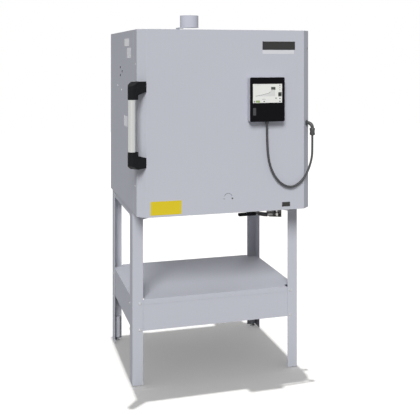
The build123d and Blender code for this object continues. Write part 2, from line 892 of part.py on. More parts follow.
# Fibre seal round the plug, which presses on the brick collar
seal_inner = chamber_side + seal_inset
seal_outer = seal_inner + seal_width
seal_inner_levels = (chamber_low - seal_inset, chamber_high + seal_inset)
seal_outer_levels = (seal_inner_levels[0] - seal_width, seal_inner_levels[1] + seal_width)
with BuildPart() as door_seal:
    seal_ends = (door_back, lining_front - clearance)
    block((-seal_outer, seal_outer), seal_ends, seal_outer_levels)
    block((-seal_inner, seal_inner), seal_ends, seal_inner_levels, mode=Mode.SUBTRACT)
keep(door_seal, "door_seal")

# Strike plates on the liner, with the magnets and the switch opposite in the casing
half_catch = catch_width / 2
catch_span = (catch_x - half_catch, catch_x + half_catch)
strike_span = (catch_span[0] - strike_margin, catch_span[1] + strike_margin)
strike_rise = catch_height / 2 + strike_margin
magnet_front = door_back + strike_sheet + clearance
magnet_ends = (magnet_front, magnet_front + catch_depth)
with BuildPart() as strike_plates:
    for level in catch_levels:
        strike_levels = (level - strike_rise, level + strike_rise)
        block(strike_span, (door_back, door_back + strike_sheet), strike_levels)
keep(strike_plates, "strike_plates")

with BuildPart() as catch_magnets:
    for level in catch_levels:
        block(catch_span, magnet_ends, (level - catch_height / 2, level + catch_height / 2))
keep(catch_magnets, "catch_magnets")

with BuildPart() as door_switch:
    switch_levels = (switch_level - switch_height / 2, switch_level + switch_height / 2)
    block(catch_span, magnet_ends, switch_levels)
keep(door_switch, "door_switch")

# Screws in the side strips of the door
with BuildPart() as door_screws:
    heads = []
    for side in (-1, 1):
        for lift in (side_screw_low, side_screw_high):
            spot = (side * right, door_back - side_screw_setback, stand_height + lift)
            heads.append(Plane(origin=spot, z_dir=(side, 0, 0)))
    with BuildSketch(*heads):
        Circle(screw_radius)
    extrude(amount=screw_head, taper=30)
keep(door_screws, "door_screws")

# Lift-off hinges: fixed leaves on the casing, door leaves that hang on the pins
hinge = (right + hinge_offset, door_back + hinge_setback)
hinge_levels = (stand_height + lower_hinge_lift, roof - upper_hinge_drop)
bearing_low = pin_collar + clearance


def make_leaves(name, end, knuckle_ends, bore_ends):
    """The leaves of one side of the hinges, where end is -1 for the door."""
    near = hinge[1] + end * leaf_gap
    web = hinge[1] + end * pin_radius / 3
    with BuildPart() as leaves:
        for level in hinge_levels:
            knuckle = (level + knuckle_ends[0], level + knuckle_ends[1])
            plate = (level - leaf_height / 2, level + leaf_height / 2)
            block((right, right + leaf_sheet), (near, near + end * leaf_width), plate)
            block((right + leaf_sheet, hinge[0]), (web, web + end * web_sheet), knuckle)
            rod(hinge, knuckle_radius, knuckle)
            bore = (level + bore_ends[0], level + bore_ends[1])
            rod(hinge, pin_radius + running_gap, bore, Mode.SUBTRACT)
    keep(leaves, name)


door_knuckle = (bearing_low, bearing_low + knuckle_height)
make_leaves("hinge_fixed_leaves", 1, (-knuckle_height, 0), (-knuckle_height, 0))
make_leaves("hinge_door_leaves", -1, door_knuckle, (bearing_low, pin_height + clearance))

with BuildPart() as hinge_pins:
    for level in hinge_levels:
        rod(hinge, pin_radius, (level - knuckle_height, level + pin_height))
        rod(hinge, knuckle_radius, (level, level + pin_collar))
keep(hinge_pins, "hinge_pins")

# Handle on the left fold: two moulded brackets with a tube between them
fold_spot = Vector(left + corner_fold / 2, front + corner_fold / 2)
outward = Vector(-1, -1).normalized()
tube_axis = fold_spot + outward * handle_stand_off
tube_axis = (tube_axis.X, tube_axis.Y)
socket_radius = handle_radius + bracket_skin
bracket_tip = handle_stand_off + socket_radius
bracket_neck = handle_stand_off - socket_radius
bracket_low = handle_high - bracket_height
handle_middle = (handle_low + handle_high) / 2
with BuildPart() as handle_bracket_upper:
    with BuildSketch(Plane(origin=fold_spot, x_dir=outward, z_dir=(-1, 1, 0))):
        Polygon(
            (0, handle_high), (bracket_neck, handle_high),
            (bracket_tip, handle_high - bracket_slope), (bracket_tip, bracket_low),
            (bracket_neck, bracket_low), (bracket_neck, bracket_low + bracket_slope),
            (0, handle_high - bracket_foot), align=None,
        )
    extrude(amount=bracket_half_width, both=True)
    plan_spot = fold_spot + Vector(0, 0, bracket_low)
    with BuildSketch(Plane(origin=plan_spot, x_dir=outward, z_dir=(0, 0, 1))):
        Polygon(
            (0, bracket_half_width), (handle_stand_off, socket_radius),
            (handle_stand_off, -socket_radius), (0, -bracket_half_width), align=None,
        )
        with Locations((handle_stand_off, 0)):
            Circle(socket_radius)
    extrude(amount=bracket_height, mode=Mode.INTERSECT)
    top = handle_bracket_upper.faces().sort_by(Axis.Z)[-1]
    fillet(top.edges().sort_by_distance(fold_spot + Vector(0, 0, handle_high))[1:], bracket_edge)
    socket_ends = (bracket_low, bracket_low + socket_depth)
    rod(tube_axis, handle_radius + running_gap, socket_ends, Mode.SUBTRACT)
keep(handle_bracket_upper, "handle_bracket_upper")

with BuildPart() as handle_bracket_lower:
    mirror(handle_bracket_upper.part, about=Plane.XY.offset(handle_middle))
keep(handle_bracket_lower, "handle_bracket_lower")

with BuildPart() as handle_tube:
    tube_top = bracket_low + socket_depth - socket_spare
    tube_ends = (2 * handle_middle - tube_top, tube_top)
    rod(tube_axis, handle_radius, tube_ends)
    rod(tube_axis, handle_radius - handle_wall, tube_ends, Mode.SUBTRACT)
keep(handle_tube, "handle_tube")

# Controller on the door: holder plate, housing, fascia and display
controller_x = (controller_left, controller_left + controller_width)
controller_z = (controller_low, controller_low + controller_height)
controller_face = front - controller_proud
holder_face = front - holder_sheet
fascia_back = controller_face + fascia_sheet
with BuildPart() as controller_holder:
    block(
        (controller_x[0] + holder_margin, controller_x[1] - holder_margin),
        (front, holder_face),
        (controller_z[0] + holder_margin, controller_z[1] - holder_margin),
    )
keep(controller_holder, "controller_holder")

with BuildPart() as controller_housing:
    block(controller_x, (holder_face, fascia_back), controller_z)
    fillet(controller_housing.edges().filter_by(Axis.Y), controller_corner)
    offset(amount=-housing_wall, openings=controller_housing.faces().sort_by(Axis.Y)[0])
keep(controller_housing, "controller_housing")

display_left = controller_left + display_margin
display_high = controller_z[1] - display_top
display_low = display_high - display_height
glass_back = controller_face + glass_sheet
port_x = controller_left + port_left
port_high = controller_z[1] - port_top
port_low = port_high - port_height
cover_axis = (port_x + clearance + cover_sheet / 2, controller_face + cover_sheet / 2)
cover_levels = (port_low + clearance, port_high - clearance)
cover_pin_ends = (cover_levels[0] - cover_pin_length, cover_levels[1] + cover_pin_length)
cover_bore_ends = (cover_pin_ends[0] - clearance, cover_pin_ends[1] + clearance)
with BuildPart() as controller_fascia:
    block(controller_x, (fascia_back, controller_face), controller_z)
    fillet(controller_fascia.edges().filter_by(Axis.Y), controller_corner)
    chamfer(controller_fascia.faces().sort_by(Axis.Y)[0].edges(), controller_edge)
    block(
        (display_left - clearance, display_left + display_width + clearance),
        (controller_face, glass_back), (display_low - clearance, display_high + clearance),
        mode=Mode.SUBTRACT,
    )
    block(
        (port_x, port_x + port_width), (controller_face, fascia_back - port_floor),
        (port_low, port_high), mode=Mode.SUBTRACT,
    )
    slot_x = port_x + port_width / 2
    slot_z = (port_low + port_high) / 2
    block(
        (slot_x - port_slot_width / 2, slot_x + port_slot_width / 2),
        (controller_face, fascia_back),
        (slot_z - port_slot_height / 2, slot_z + port_slot_height / 2), mode=Mode.SUBTRACT,
    )
    rod(cover_axis, cover_pin_radius + running_gap, cover_bore_ends, Mode.SUBTRACT)
keep(controller_fascia, "controller_fascia")

with BuildPart() as display_glass:
    block(
        (display_left, display_left + display_width), (controller_face, glass_back),
        (display_low, display_high),
    )
keep(display_glass, "display_glass")

# Cover of the data socket, which swings out on two stubs at its left edge
with BuildPart() as usb_cover:
    block(
        (cover_axis[0], port_x + port_width - clearance),
        (controller_face, controller_face + cover_sheet), cover_levels,
    )
    rod(cover_axis, cover_sheet / 2, cover_levels)
    rod(cover_axis, cover_pin_radius, cover_pin_ends)
keep(usb_cover, "usb_cover")

# Gland under the controller, where the control cable leaves it
gland_low = controller_low - gland_length
with BuildPart() as cable_gland:
    rod((gland_x, gland_y), gland_radius, (gland_low + gland_dome, controller_low))
    with BuildSketch(Plane.XY.offset(gland_low + gland_dome)):
        with Locations((gland_x, gland_y)):
            Circle(gland_radius - connector_ring)
    extrude(amount=-gland_dome, taper=gland_taper)
keep(cable_gland, "cable_gland")

# Elbow on the right fold of the door: a nut and a bent tube that points down
elbow_spot = (right - corner_fold / 2, front + corner_fold / 2, controller_low - elbow_drop)
elbow_face = Plane(origin=elbow_spot, x_dir=(0, 0, 1), z_dir=(1, -1, 0))
elbow_view = Plane(origin=elbow_spot, x_dir=(1, -1, 0), z_dir=(-1, -1, 0))
elbow_end = elbow_view.from_local_coords(Vector(elbow_stub + elbow_bend, -elbow_bend))
with BuildPart() as cable_elbow:
    with BuildSketch(elbow_face):
        RegularPolygon(elbow_nut_radius, 6)
    extrude(amount=elbow_nut_height)
    with BuildLine(elbow_view):
        stub = Line((0, 0), (elbow_stub, 0))
        TangentArc(stub @ 1, elbow_end, tangent=stub % 1)
    with BuildSketch(elbow_face):
        Circle(elbow_radius)
    sweep()
keep(cable_elbow, "cable_elbow")

# Connector of the cable, pushed onto the elbow from below
connector_low = elbow_end.Z - connector_length
connector_axis = (elbow_end.X, elbow_end.Y)
ring_shift = connector_length / 2 - connector_ring_height
with BuildPart() as cable_connector:
    rod(connector_axis, connector_radius, (connector_low, elbow_end.Z))
    for shift in (-ring_shift, ring_shift):
        middle = connector_low + connector_length / 2 + shift
        ring_ends = (middle - connector_ring_height / 2, middle + connector_ring_height / 2)
        rod(connector_axis, connector_radius + connector_ring, ring_ends)
keep(cable_connector, "cable_connector")

# Control cable: it hangs from the gland in a loop and rises to the connector
route_points = [
    (gland_x, gland_y, gland_low),
    (gland_x, gland_y, 1190),
    (204, -440, 1095),
    (232, -440, 1025),
    (275, -440, 980),
    (322, -440, 965),
    (370, -438, 985),
    (410, -435, 1035),
    (436, -431, 1105),
    (*connector_axis, 1165),
    (*connector_axis, connector_low),
]


def bend_radii(points):
    """A bend radius for every corner, from its shorter run and its turn."""
    radii = []
    for before, corner, after in zip(points, points[1:], points[2:]):
        run_in = Vector(*corner) - Vector(*before)
        run_out = Vector(*after) - Vector(*corner)
        half_turn = radians(run_in.get_angle(run_out)) / 2
        radii.append(0.45 * min(run_in.length, run_out.length) / tan(half_turn))
    return radii


route_radii = bend_radii(route_points)
with BuildPart() as control_cable:
    with BuildLine() as route:
        FilletPolyline(*route_points, radius=route_radii)
    with BuildSketch(Plane(origin=route.line @ 0, z_dir=route.line % 0)):
        Circle(cable_radius)
    sweep()
keep(control_cable, "control_cable")
print("cable bend radii", [round(radius) for radius in route_radii])
cable_length = route.wires()[0].length
print("cable length", round(cable_length), "section", control_cable.part.volume / cable_length)
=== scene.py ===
"""The looks of a chamber kiln on its stand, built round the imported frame.

Lengths are in metres, in the frame's own axes: X to the right, Y to the back, Z up.
"""

from math import cos, pi, radians, sin

import bpy
from bpy.props import FloatProperty, FloatVectorProperty, IntProperty, PointerProperty
from mathutils import Matrix, Vector


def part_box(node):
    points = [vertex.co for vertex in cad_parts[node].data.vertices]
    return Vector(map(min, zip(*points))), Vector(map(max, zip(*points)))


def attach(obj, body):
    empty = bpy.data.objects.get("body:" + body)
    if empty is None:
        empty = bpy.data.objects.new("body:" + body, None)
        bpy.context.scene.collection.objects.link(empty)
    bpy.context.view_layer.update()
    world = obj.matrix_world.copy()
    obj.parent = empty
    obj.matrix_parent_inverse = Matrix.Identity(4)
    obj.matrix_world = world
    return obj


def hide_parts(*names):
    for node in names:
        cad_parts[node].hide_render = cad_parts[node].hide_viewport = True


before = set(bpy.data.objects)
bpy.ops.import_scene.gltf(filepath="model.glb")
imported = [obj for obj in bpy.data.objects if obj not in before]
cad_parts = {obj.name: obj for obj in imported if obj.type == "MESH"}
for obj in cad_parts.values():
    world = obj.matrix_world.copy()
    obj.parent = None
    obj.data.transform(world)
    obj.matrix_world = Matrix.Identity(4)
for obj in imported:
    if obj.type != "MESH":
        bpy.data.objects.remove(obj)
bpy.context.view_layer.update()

bl_info = {
    "name": "Chamber Kiln",
    "version": (1, 0, 0),
    "blender": (4, 5, 0),
    "location": "View3D > Sidebar > Kiln",
    "description": "Dresses a chamber kiln on its stand and sets its stage",
    "category": "Add Mesh",
}

# The control cable's way from the gland to the connector
CABLE_ROUTE = (
    (0.195, -0.440, 1.279), (0.195, -0.440, 1.190), (0.204, -0.440, 1.095),
    (0.232, -0.440, 1.025), (0.275, -0.440, 0.980), (0.322, -0.440, 0.965),
    (0.370, -0.438, 0.985), (0.410, -0.435, 1.035), (0.436, -0.431, 1.105),
    (0.43833, -0.42833, 1.165), (0.43833, -0.42833, 1.217),
)

# Faces of the casing and the door, and the exhaust's axis, as the frame has them
CASING_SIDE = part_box("casing_side_right")[1][0]
DOOR_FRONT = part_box("door_shell")[0][1]
REAR_FACE = 0.4265
EXHAUST_X, EXHAUST_Y = -0.040, 0.160

# Bolts of the stand, from the outer corners of its legs
BOLT_INSET = 0.0375
BOLT_SETBACK = 0.061
BOLT_LEVELS = (0.400, 0.272)
SIDE_BOLT_LEVELS = (0.391, 0.263, 0.828)
FOOT_INSET, FOOT_SETBACK = 0.026, 0.0197

# Screws and hole plugs of the casing and the door
SIDE_SCREW_Y = -0.354
SIDE_SCREW_LEVELS = (0.995, 1.570)
REAR_SCREW_X = 0.411
REAR_SCREW_LEVELS = (0.895, 1.295, 1.695)
SADDLE_SCREW_X, SADDLE_SCREW_REACH, SADDLE_TOP = -0.118, 0.035, 1.738
BLACK_PLUGS = ((0.082, 1.550), (0.024, 1.530), (0.082, 1.509))
GREY_PLUGS = ((0.166, 1.452), (0.040, 1.434))

# Exhaust pipe and the side view of its bracket
PIPE_RADIUS, PIPE_INNER, PIPE_LENGTH = 0.0510, 0.0495, 0.067
PIPE_SIDES = 96
SADDLE_WIDTH = 0.090
SADDLE_OUTLINE = (
    (-0.131, 1.735), (-0.102, 1.735), (-0.102, 1.763), (-0.048, 1.763), (-0.048, 1.766),
    (-0.105, 1.766), (-0.105, 1.738), (-0.131, 1.738),
)

# Web of the air inlet's bracket, and the lever's rim from its top down. The rim is dark and stands
# in for the shade on the bracket's flange under the lever: painted shade.
INLET_SHEET = 0.002
WEB_SLOPE, WEB_EDGE = 0.007, 0.001
LEVER_RIM = ((0.204, 0), (0.204, -0.008), (0.236, -0.0145), (0.256, -0.017), (0.256, 0))

# Heating coils
COIL_RADIUS, COIL_REACH = 0.014, 0.217
COIL_LEVELS = (1.130, 1.240, 1.350, 1.460)

# Turn that stands a flat piece up, with its Y along Z and its thickness to the front
UPRIGHT = Matrix(((1, 0, 0, 0), (0, 0, -1, 0), (0, 1, 0, 0), (0, 0, 0, 1)))

# Camera that fits the photograph
CAMERA_PLACE = (-1.0702, -3.8342, 1.6041)
CAMERA_TURN = -16.065
SENSOR_WIDTH, LENS_LENGTH, LENS_SHIFT = 36, 63.83, -0.3642


def paint_property(name, description, default):
    """A colour that the user can change."""
    return FloatVectorProperty(
        name=name, description=description, subtype="COLOR", size=3, min=0, max=1, default=default
    )


def length_property(name, description, default):
    """A length that the user can change."""
    return FloatProperty(name=name, description=description, default=default, min=0, unit="LENGTH")


class KilnColours(bpy.types.PropertyGroup):
    """Colours of the kiln's finishes"""
    paint: paint_property("Paint", "Powder coat of the casing and the stand", (0.535, 0.547, 0.607))
    black: paint_property("Black", "Moulded black plastic", (0.012, 0.013, 0.014))
    steel: paint_property("Steel", "Bare stainless sheet", (0.56, 0.555, 0.54))
    zinc: paint_property("Zinc", "Screws, bolts and hinges", (0.45, 0.46, 0.47))
    brick: paint_property("Brick", "Light refractory brick", (0.80, 0.72, 0.58))
    fibre: paint_property("Fibre", "Fibre boards and the door seal", (0.80, 0.79, 0.75))
    ceramic: paint_property("Ceramic", "Tubes and ducts of dense ceramic", (0.72, 0.66, 0.55))
    cable: paint_property("Cable", "Sheath of the control cable", (0.045, 0.047, 0.05))
    screen: paint_property("Screen", "Background of the touch screen", (0.80, 0.81, 0.78))
    yellow: paint_property("Yellow", "Bare yellow plate on the door", (0.68, 0.53, 0.004))


class KilnSizes(bpy.types.PropertyGroup):
    """Sizes of the kiln's finer detail"""
    sheet_edge: length_property("Sheet edge", "Rounding of the edges of sheet metal", 0.0005)
    brick_edge: length_property("Brick edge", "Rounding of the edges of the bricks", 0.002)
    brick_length: length_property("Brick length", "Length of a brick in the lining", 0.230)
    brick_height: length_property("Brick height", "Height of a course of bricks", 0.110)
    coil_wire: length_property("Coil wire", "Diameter of the heating wire", 0.0036)
    coil_pitch: length_property("Coil pitch", "Distance between the turns of the wire", 0.0092)
    plate_height: length_property("Plate", "Thickness of the printed plates", 0.0006)
    cable_sides: IntProperty(
        name="Cable sides", description="Half the sides of the cable's section", default=7, min=3
    )


class KilnStage(bpy.types.PropertyGroup):
    """Light of the stage"""
    key: FloatProperty(
        name="Key", description="Strength of the light from the front left", default=2.5
    )
    fill: FloatProperty(
        name="Fill", description="Strength of the light from the back right", default=0.7
    )
    top: FloatProperty(name="Top", description="Strength of the light on the floor", default=2.6)
    room: FloatProperty(
        name="Room", description="Strength of the light from all sides", default=0.3
    )


def leg_corners():
    """The side and the end that each leg faces, with its outer corner from its node's box."""
    corners = []
    for side, hand in ((-1, "left"), (1, "right")):
        for end, row in ((-1, "front"), (1, "rear")):
            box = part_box("leg_%s_%s" % (row, hand))
            corners.append((side, end, box[side > 0][0], box[end > 0][1]))
    return corners


# Selecting, finishing and placing pieces
def alone(piece):
    """Make a piece the only selected one, in object mode."""
    active = bpy.context.view_layer.objects.active
    if active and active.mode != "OBJECT":
        bpy.ops.object.mode_set(mode="OBJECT")
    bpy.ops.object.select_all(action="DESELECT")
    piece.select_set(True)
    bpy.context.view_layer.objects.active = piece
    return piece


def clear_selection():
    """Leave nothing selected, before a primitive is added."""
    bpy.ops.object.select_all(action="DESELECT")


def own_copy(source):
    """A copy of a piece, with its own mesh."""
    piece = source.copy()
    piece.data = source.data.copy()
    bpy.context.collection.objects.link(piece)
    return piece


def settle(piece):
    """Write a piece's place into its mesh."""
    alone(piece)
    bpy.ops.object.transform_apply(location=True, rotation=True, scale=True)
    return piece


def smooth(piece, angle=35):
    """Shade smooth, with sharp edges past an angle in degrees."""
    alone(piece)
    bpy.ops.object.shade_smooth_by_angle(angle=radians(angle))
    return piece


def edit(piece, *steps):
    """Take mesh steps, each a name with its settings, on the whole of a piece."""
    alone(piece)
    bpy.ops.object.mode_set(mode="EDIT")
    for name, settings in steps:
        bpy.ops.mesh.select_all(action="SELECT")
        getattr(bpy.ops.mesh, name)(**settings)
    bpy.ops.object.mode_set(mode="OBJECT")
    return piece


# Steps that merge doubles and point the faces outwards
MERGE = ("remove_doubles", {"threshold": 0.000002})
OUTWARDS = ("normals_make_consistent", {"inside": False})


def modify(piece, kind, **settings):
    """Add a modifier to a piece and apply it."""
    alone(piece)
    modifier = piece.modifiers.new(kind.title(), kind)
    for setting, value in settings.items():
        setattr(modifier, setting, value)
    bpy.ops.object.modifier_apply(modifier=modifier.name)
    return piece


def soften(piece, width, segments=2):
    """Round the sharp edges of a piece."""
    modify(
        piece, "BEVEL", width=width, segments=segments, limit_method="ANGLE",
        angle_limit=radians(28),
    )
    return modify(smooth(piece), "WEIGHTED_NORMAL", keep_sharp=True, weight=100)


def join(name, pieces):
    """Join pieces into the first of them."""
    alone(pieces[0])
    for piece in pieces:
        piece.select_set(True)
    if len(pieces) > 1:
        bpy.ops.object.join()
    joined = bpy.context.view_layer.objects.active
    joined.name = name
    return joined


def place(piece, spot, facing=(0, 0, 1)):
    """Turn a piece's Z axis to a direction, move it to its spot and write that into it."""
    turn = Vector(facing).to_track_quat("Z", "Y").to_matrix().to_4x4()
    piece.matrix_world = Matrix.Translation(spot) @ turn
    return settle(piece)


def copies(name, source, spots):
    """Copy a piece, each with its own mesh, to spots with their directions, and join them."""
    placed = [place(own_copy(source), spot, facing) for spot, facing in spots]
    bpy.data.objects.remove(source)
    return join(name, placed)


def fit(piece, body, slot, *nodes, look=None):
    """Give a piece its finish, its body and the CAD nodes that it stands for."""
    piece.data.materials.clear()
    piece.data.materials.append(look or SLOT_LOOKS[slot]())
    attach(piece, body)
    if nodes:
        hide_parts(*nodes)
    return piece


# Shaping pieces from primitives
def box_piece(name, low, high, edge):
    """A box between two corners, with rounded edges."""
    clear_selection()
    middle = [(a + b) / 2 for a, b in zip(low, high)]
    bpy.ops.mesh.primitive_cube_add(size=1, location=middle)
    piece = bpy.context.object
    piece.name = name
    piece.scale = [b - a for a, b in zip(low, high)]
    settle(piece)
    return soften(piece, edge)


def cylinder(sides, radius, depth, spot):
    """A cylinder or prism with its middle at a spot."""
    clear_selection()
    bpy.ops.mesh.primitive_cylinder_add(vertices=sides, radius=radius, depth=depth, location=spot)
    return settle(bpy.context.object)


def cut(piece, tool):
    """Cut a tool's shape out of a piece."""
    modify(piece, "BOOLEAN", operation="DIFFERENCE", object=tool, solver="EXACT")
    bpy.data.objects.remove(tool)


def outline_loop(name, points, fill):
    """A ring or face whose corners are moved to given points."""
    clear_selection()
    bpy.ops.mesh.primitive_circle_add(vertices=len(points), radius=1, fill_type=fill)
    piece = bpy.context.object
    piece.name = name
    for vertex, point in zip(piece.data.vertices, points):
        vertex.co = point
    return piece


def turned_piece(name, outline, steps=48):
    """A piece turned round Z from a closed outline of radius and height."""
    piece = outline_loop(name, [(radius, 0, height) for radius, height in outline], "NOTHING")
    spin = {"steps": steps, "angle": 2 * pi, "axis": (0, 0, 1)}
    edit(piece, ("spin", spin), MERGE, ("dissolve_degenerate", {"threshold": 0.000002}), OUTWARDS)
    return smooth(piece)


def sheet_piece(name, outline, thickness):
    """A flat outline in X and Y, made as thick as its sheet along Z."""
    piece = outline_loop(name, [(x, y, 0) for x, y in outline], "NGON")
    move = {"TRANSFORM_OT_translate": {"value": (0, 0, thickness)}}
    return edit(piece, ("extrude_region_move", move), OUTWARDS)


def stand(piece, spot):
    """Stand a flat piece up at a spot."""
    piece.matrix_world = Matrix.Translation(spot) @ UPRIGHT
    return settle(piece)


def shaped_copy(name, node, edge, segments=2):
    """A merged copy of a CAD node with its sharp edges rounded."""
    piece = own_copy(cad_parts[node])
    piece.parent = None
    for key in [key for key in piece.keys() if key.startswith("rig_")]:
        del piece[key]
    piece.name = name
    alone(piece)
    bpy.ops.mesh.customdata_custom_splitnormals_clear()
    flatten = ("dissolve_limited", {"angle_limit": radians(0.5)})
    edit(piece, ("remove_doubles", {"threshold": 0.000005}), flatten)
    return soften(piece, edge, segments)


def finish(name, node, edge, body, slot, look=None, segments=2):
    """A CAD node's rounded copy in the node's place, with its finish and its body."""
    return fit(shaped_copy(name, node, edge, segments), body, slot, node, look=look)


# Shared effects and the materials made with them
def new_group(name, inputs, outputs):
    """A shader node group with its sockets, and its two end nodes."""
    group = bpy.data.node_groups.new(name, "ShaderNodeTree")
    for label, kind, default in inputs:
        socket = group.interface.new_socket(
            name=label, in_out="INPUT", socket_type="NodeSocket" + kind
        )
        if default is not None:
            socket.default_value = default
    for label, kind in outputs:
        group.interface.new_socket(
            name=label, in_out="OUTPUT", socket_type="NodeSocket" + kind
        )
    return group, group.nodes.new("NodeGroupInput"), group.nodes.new("NodeGroupOutput")


def node_in(tree, kind, links=(), **values):
    """A node with its settings, and links into its sockets from other nodes' outputs."""
    node = tree.nodes.new("ShaderNode" + kind)
    for key, value in values.items():
        if key in node.inputs:
            node.inputs[key].default_value = value
        elif key.startswith("in_"):
            node.inputs[int(key[3:])].default_value = value
        else:
            setattr(node, key, value)
    for socket, source in links:
        tree.links.new(source, node.inputs[socket])
    return node


def maths(tree, operation, first, second):
    """The result of a sum of outputs and numbers in a shader tree."""
    node = node_in(tree, "Math", operation=operation)
    for socket, value in zip(node.inputs, (first, second)):
        if isinstance(value, float):
            socket.default_value = value
        else:
            tree.links.new(value, socket)
    return node.outputs[0]


def varied(group, start, noise, share):
    """Vary a group's colour by a noise. Gives the tone, and the amount of the variation."""
    shift = node_in(group, "MapRange", [(0, noise)], in_3=-1.0, in_4=1.0)
    amount = maths(group, "MULTIPLY", shift.outputs[0], start.outputs[share])
    level = maths(group, "ADD", amount, 1.0)
    tone = node_in(group, "HueSaturation", [("Color", start.outputs["Colour"]), ("Value", level)])
    return tone.outputs[0], amount


def close_group(group, start, end, tone, amount, height):
    """Link a group's outputs, with a roughness that varies by the same amount."""
    rough = maths(group, "ADD", amount, start.outputs["Roughness"])
    group.links.new(tone, end.inputs["Colour"])
    group.links.new(rough, end.inputs["Roughness"])
    group.links.new(height, end.inputs["Height"])
    return group


def effect_group(name, share, share_default, roughness):
    """A group with a colour, a share of variation and a roughness."""
    return new_group(
        name,
        [("Vector", "Vector", None), ("Colour", "Color", None), (share, "Float", share_default),
         ("Roughness", "Float", roughness)],
        [("Colour", "Color"), ("Roughness", "Float"), ("Height", "Float")],
    )


def build_powder_coat():
    """Fine orange peel with a faint cloudiness."""
    group, start, end = effect_group("powder_coat_skin", "Cloud", 0.03, 0.4)
    place_in = start.outputs["Vector"]
    cloud = node_in(group, "TexNoise", [("Vector", place_in)], Scale=2.2, Detail=3.0)
    peel = node_in(group, "TexNoise", [("Vector", place_in)], Scale=620.0, Detail=2.0)
    tone, amount = varied(group, start, cloud.outputs[0], "Cloud")
    return close_group(group, start, end, tone, amount, peel.outputs[0])


def build_drawn_grain():
    """Long fine scratches of rolled or brushed metal, along the axis that is scaled least."""
    group, start, end = effect_group("drawn_grain", "Grain", 0.1, 0.35)
    streak = node_in(
        group, "TexNoise", [("Vector", start.outputs["Vector"])], Scale=1.0, Detail=4.0
    )
    tone, amount = varied(group, start, streak.outputs[0], "Grain")
    return close_group(group, start, end, tone, amount, streak.outputs[0])


def build_moulded_skin():
    """The etched skin of moulded plastic or rubber."""
    group, start, end = effect_group("moulded_skin", "Cloud", 0.1, 0.5)
    place_in = start.outputs["Vector"]
    pits = node_in(
        group, "TexVoronoi", [("Vector", place_in)], Scale=1300.0, feature="SMOOTH_F1"
    )
    cloud = node_in(group, "TexNoise", [("Vector", place_in)], Scale=30.0, Detail=3.0)
    tone, amount = varied(group, start, cloud.outputs[0], "Cloud")
    return close_group(group, start, end, tone, amount, pits.outputs["Distance"])


def build_fired_skin():
    """Pores, grit and pale dust of fired brick, board and ceramic, with painted shade that darkens
    the colour in the pores.
    """
    group, start, end = new_group(
        "fired_skin",
        [("Vector", "Vector", None), ("Colour", "Color", None), ("Cloud", "Float", 0.1),
         ("Pore Scale", "Float", 260.0), ("Pores", "Float", 0.35)],
        [("Colour", "Color"), ("Height", "Float")],
    )
    place_in, pore_scale = start.outputs["Vector"], start.outputs["Pore Scale"]
    cloud = node_in(group, "TexNoise", [("Vector", place_in)], Scale=9.0, Detail=6.0)
    pore = node_in(
        group, "TexNoise", [("Vector", place_in), ("Scale", pore_scale)], Detail=3.0
    )
    pit = node_in(
        group, "MapRange", [(0, pore.outputs[0])], in_1=0.34, in_2=0.5, in_3=0.0, in_4=1.0
    )
    tone, _ = varied(group, start, cloud.outputs[0], "Cloud")
    # Painted shade: the colour is darkened in the pores, by the share Pores, where the bump is
    # hollow.
    hollow = maths(group, "SUBTRACT", pit.outputs[0], 1.0)
    shade = maths(group, "ADD", maths(group, "MULTIPLY", hollow, start.outputs["Pores"]), 1.0)
    dark = node_in(group, "HueSaturation", [("Color", tone), ("Value", shade)])
    group.links.new(dark.outputs[0], end.inputs["Colour"])
    group.links.new(pit.outputs[0], end.inputs["Height"])
    return group


GROUPS = {
    "powder_coat_skin": build_powder_coat, "drawn_grain": build_drawn_grain,
    "moulded_skin": build_moulded_skin, "fired_skin": build_fired_skin,
}


def skin(name, colour, group_name, stretch=(1, 1, 1), bump=0.1, depth=0.0001, effect=None,
         **surface):
    """A material: a shared effect on Object coordinates feeds colour, roughness and bump."""
    if name in bpy.data.materials:
        return bpy.data.materials[name]
    material = bpy.data.materials.new(name)
    material.use_nodes = True
    tree = material.node_tree
    shader = tree.nodes["Principled BSDF"]
    for socket, value in surface.items():
        shader.inputs[socket.replace("_", " ")].default_value = value
    group = bpy.data.node_groups.get(group_name) or GROUPS[group_name]()
    where = node_in(tree, "TexCoord")
    mapping = node_in(tree, "Mapping", [("Vector", where.outputs["Object"])], Scale=stretch)
    look = node_in(
        tree, "Group", [("Vector", mapping.outputs[0])], node_tree=group, Colour=(*colour, 1),
        **(effect or {}),
    )
    tree.links.new(look.outputs["Colour"], shader.inputs["Base Color"])
    if "Roughness" in look.outputs:
        tree.links.new(look.outputs["Roughness"], shader.inputs["Roughness"])
    height = look.outputs["Height"]
    bumps = node_in(tree, "Bump", [("Height", height)], Strength=bump, Distance=depth)
    tree.links.new(bumps.outputs[0], shader.inputs["Normal"])
    return material


def colours():
    return bpy.context.scene.kiln_colours


def sizes():
    return bpy.context.scene.kiln_sizes


def metal(name, colour, stretch, bump, grain, roughness, metallic=1.0):
    """Metal with a drawn grain."""
    return skin(
        name, colour, "drawn_grain", stretch=stretch, bump=bump,
        effect={"Grain": grain, "Roughness": roughness}, Metallic=metallic,
    )


def moulding(name, colour, bump, roughness, **surface):
    """Moulded plastic or rubber."""
    return skin(
        name, colour, "moulded_skin", bump=bump, effect={"Roughness": roughness}, **surface
    )


def paint():
    return skin(
        "kiln_paint", colours().paint, "powder_coat_skin", bump=0.12,
        effect={"Cloud": 0.02, "Roughness": 0.55}, Specular_IOR_Level=0.0,
    )


def black_plastic():
    return moulding(
        "moulded_black", colours().black, bump=0.15, roughness=0.55, Specular_IOR_Level=0.06
    )


def steel_sheet():
    return metal(
        "stainless_sheet", colours().steel, (900, 900, 14), bump=0.05, grain=0.07, roughness=0.36
    )


def zinc_steel():
    return metal(
        "zinc_steel", colours().zinc, (260, 260, 260), bump=0.08, grain=0.10, roughness=0.38
    )


def satin_aluminium():
    return metal(
        "satin_tube", (0.53, 0.54, 0.535), (1600, 1600, 10), bump=0.05, grain=0.06, roughness=0.34
    )


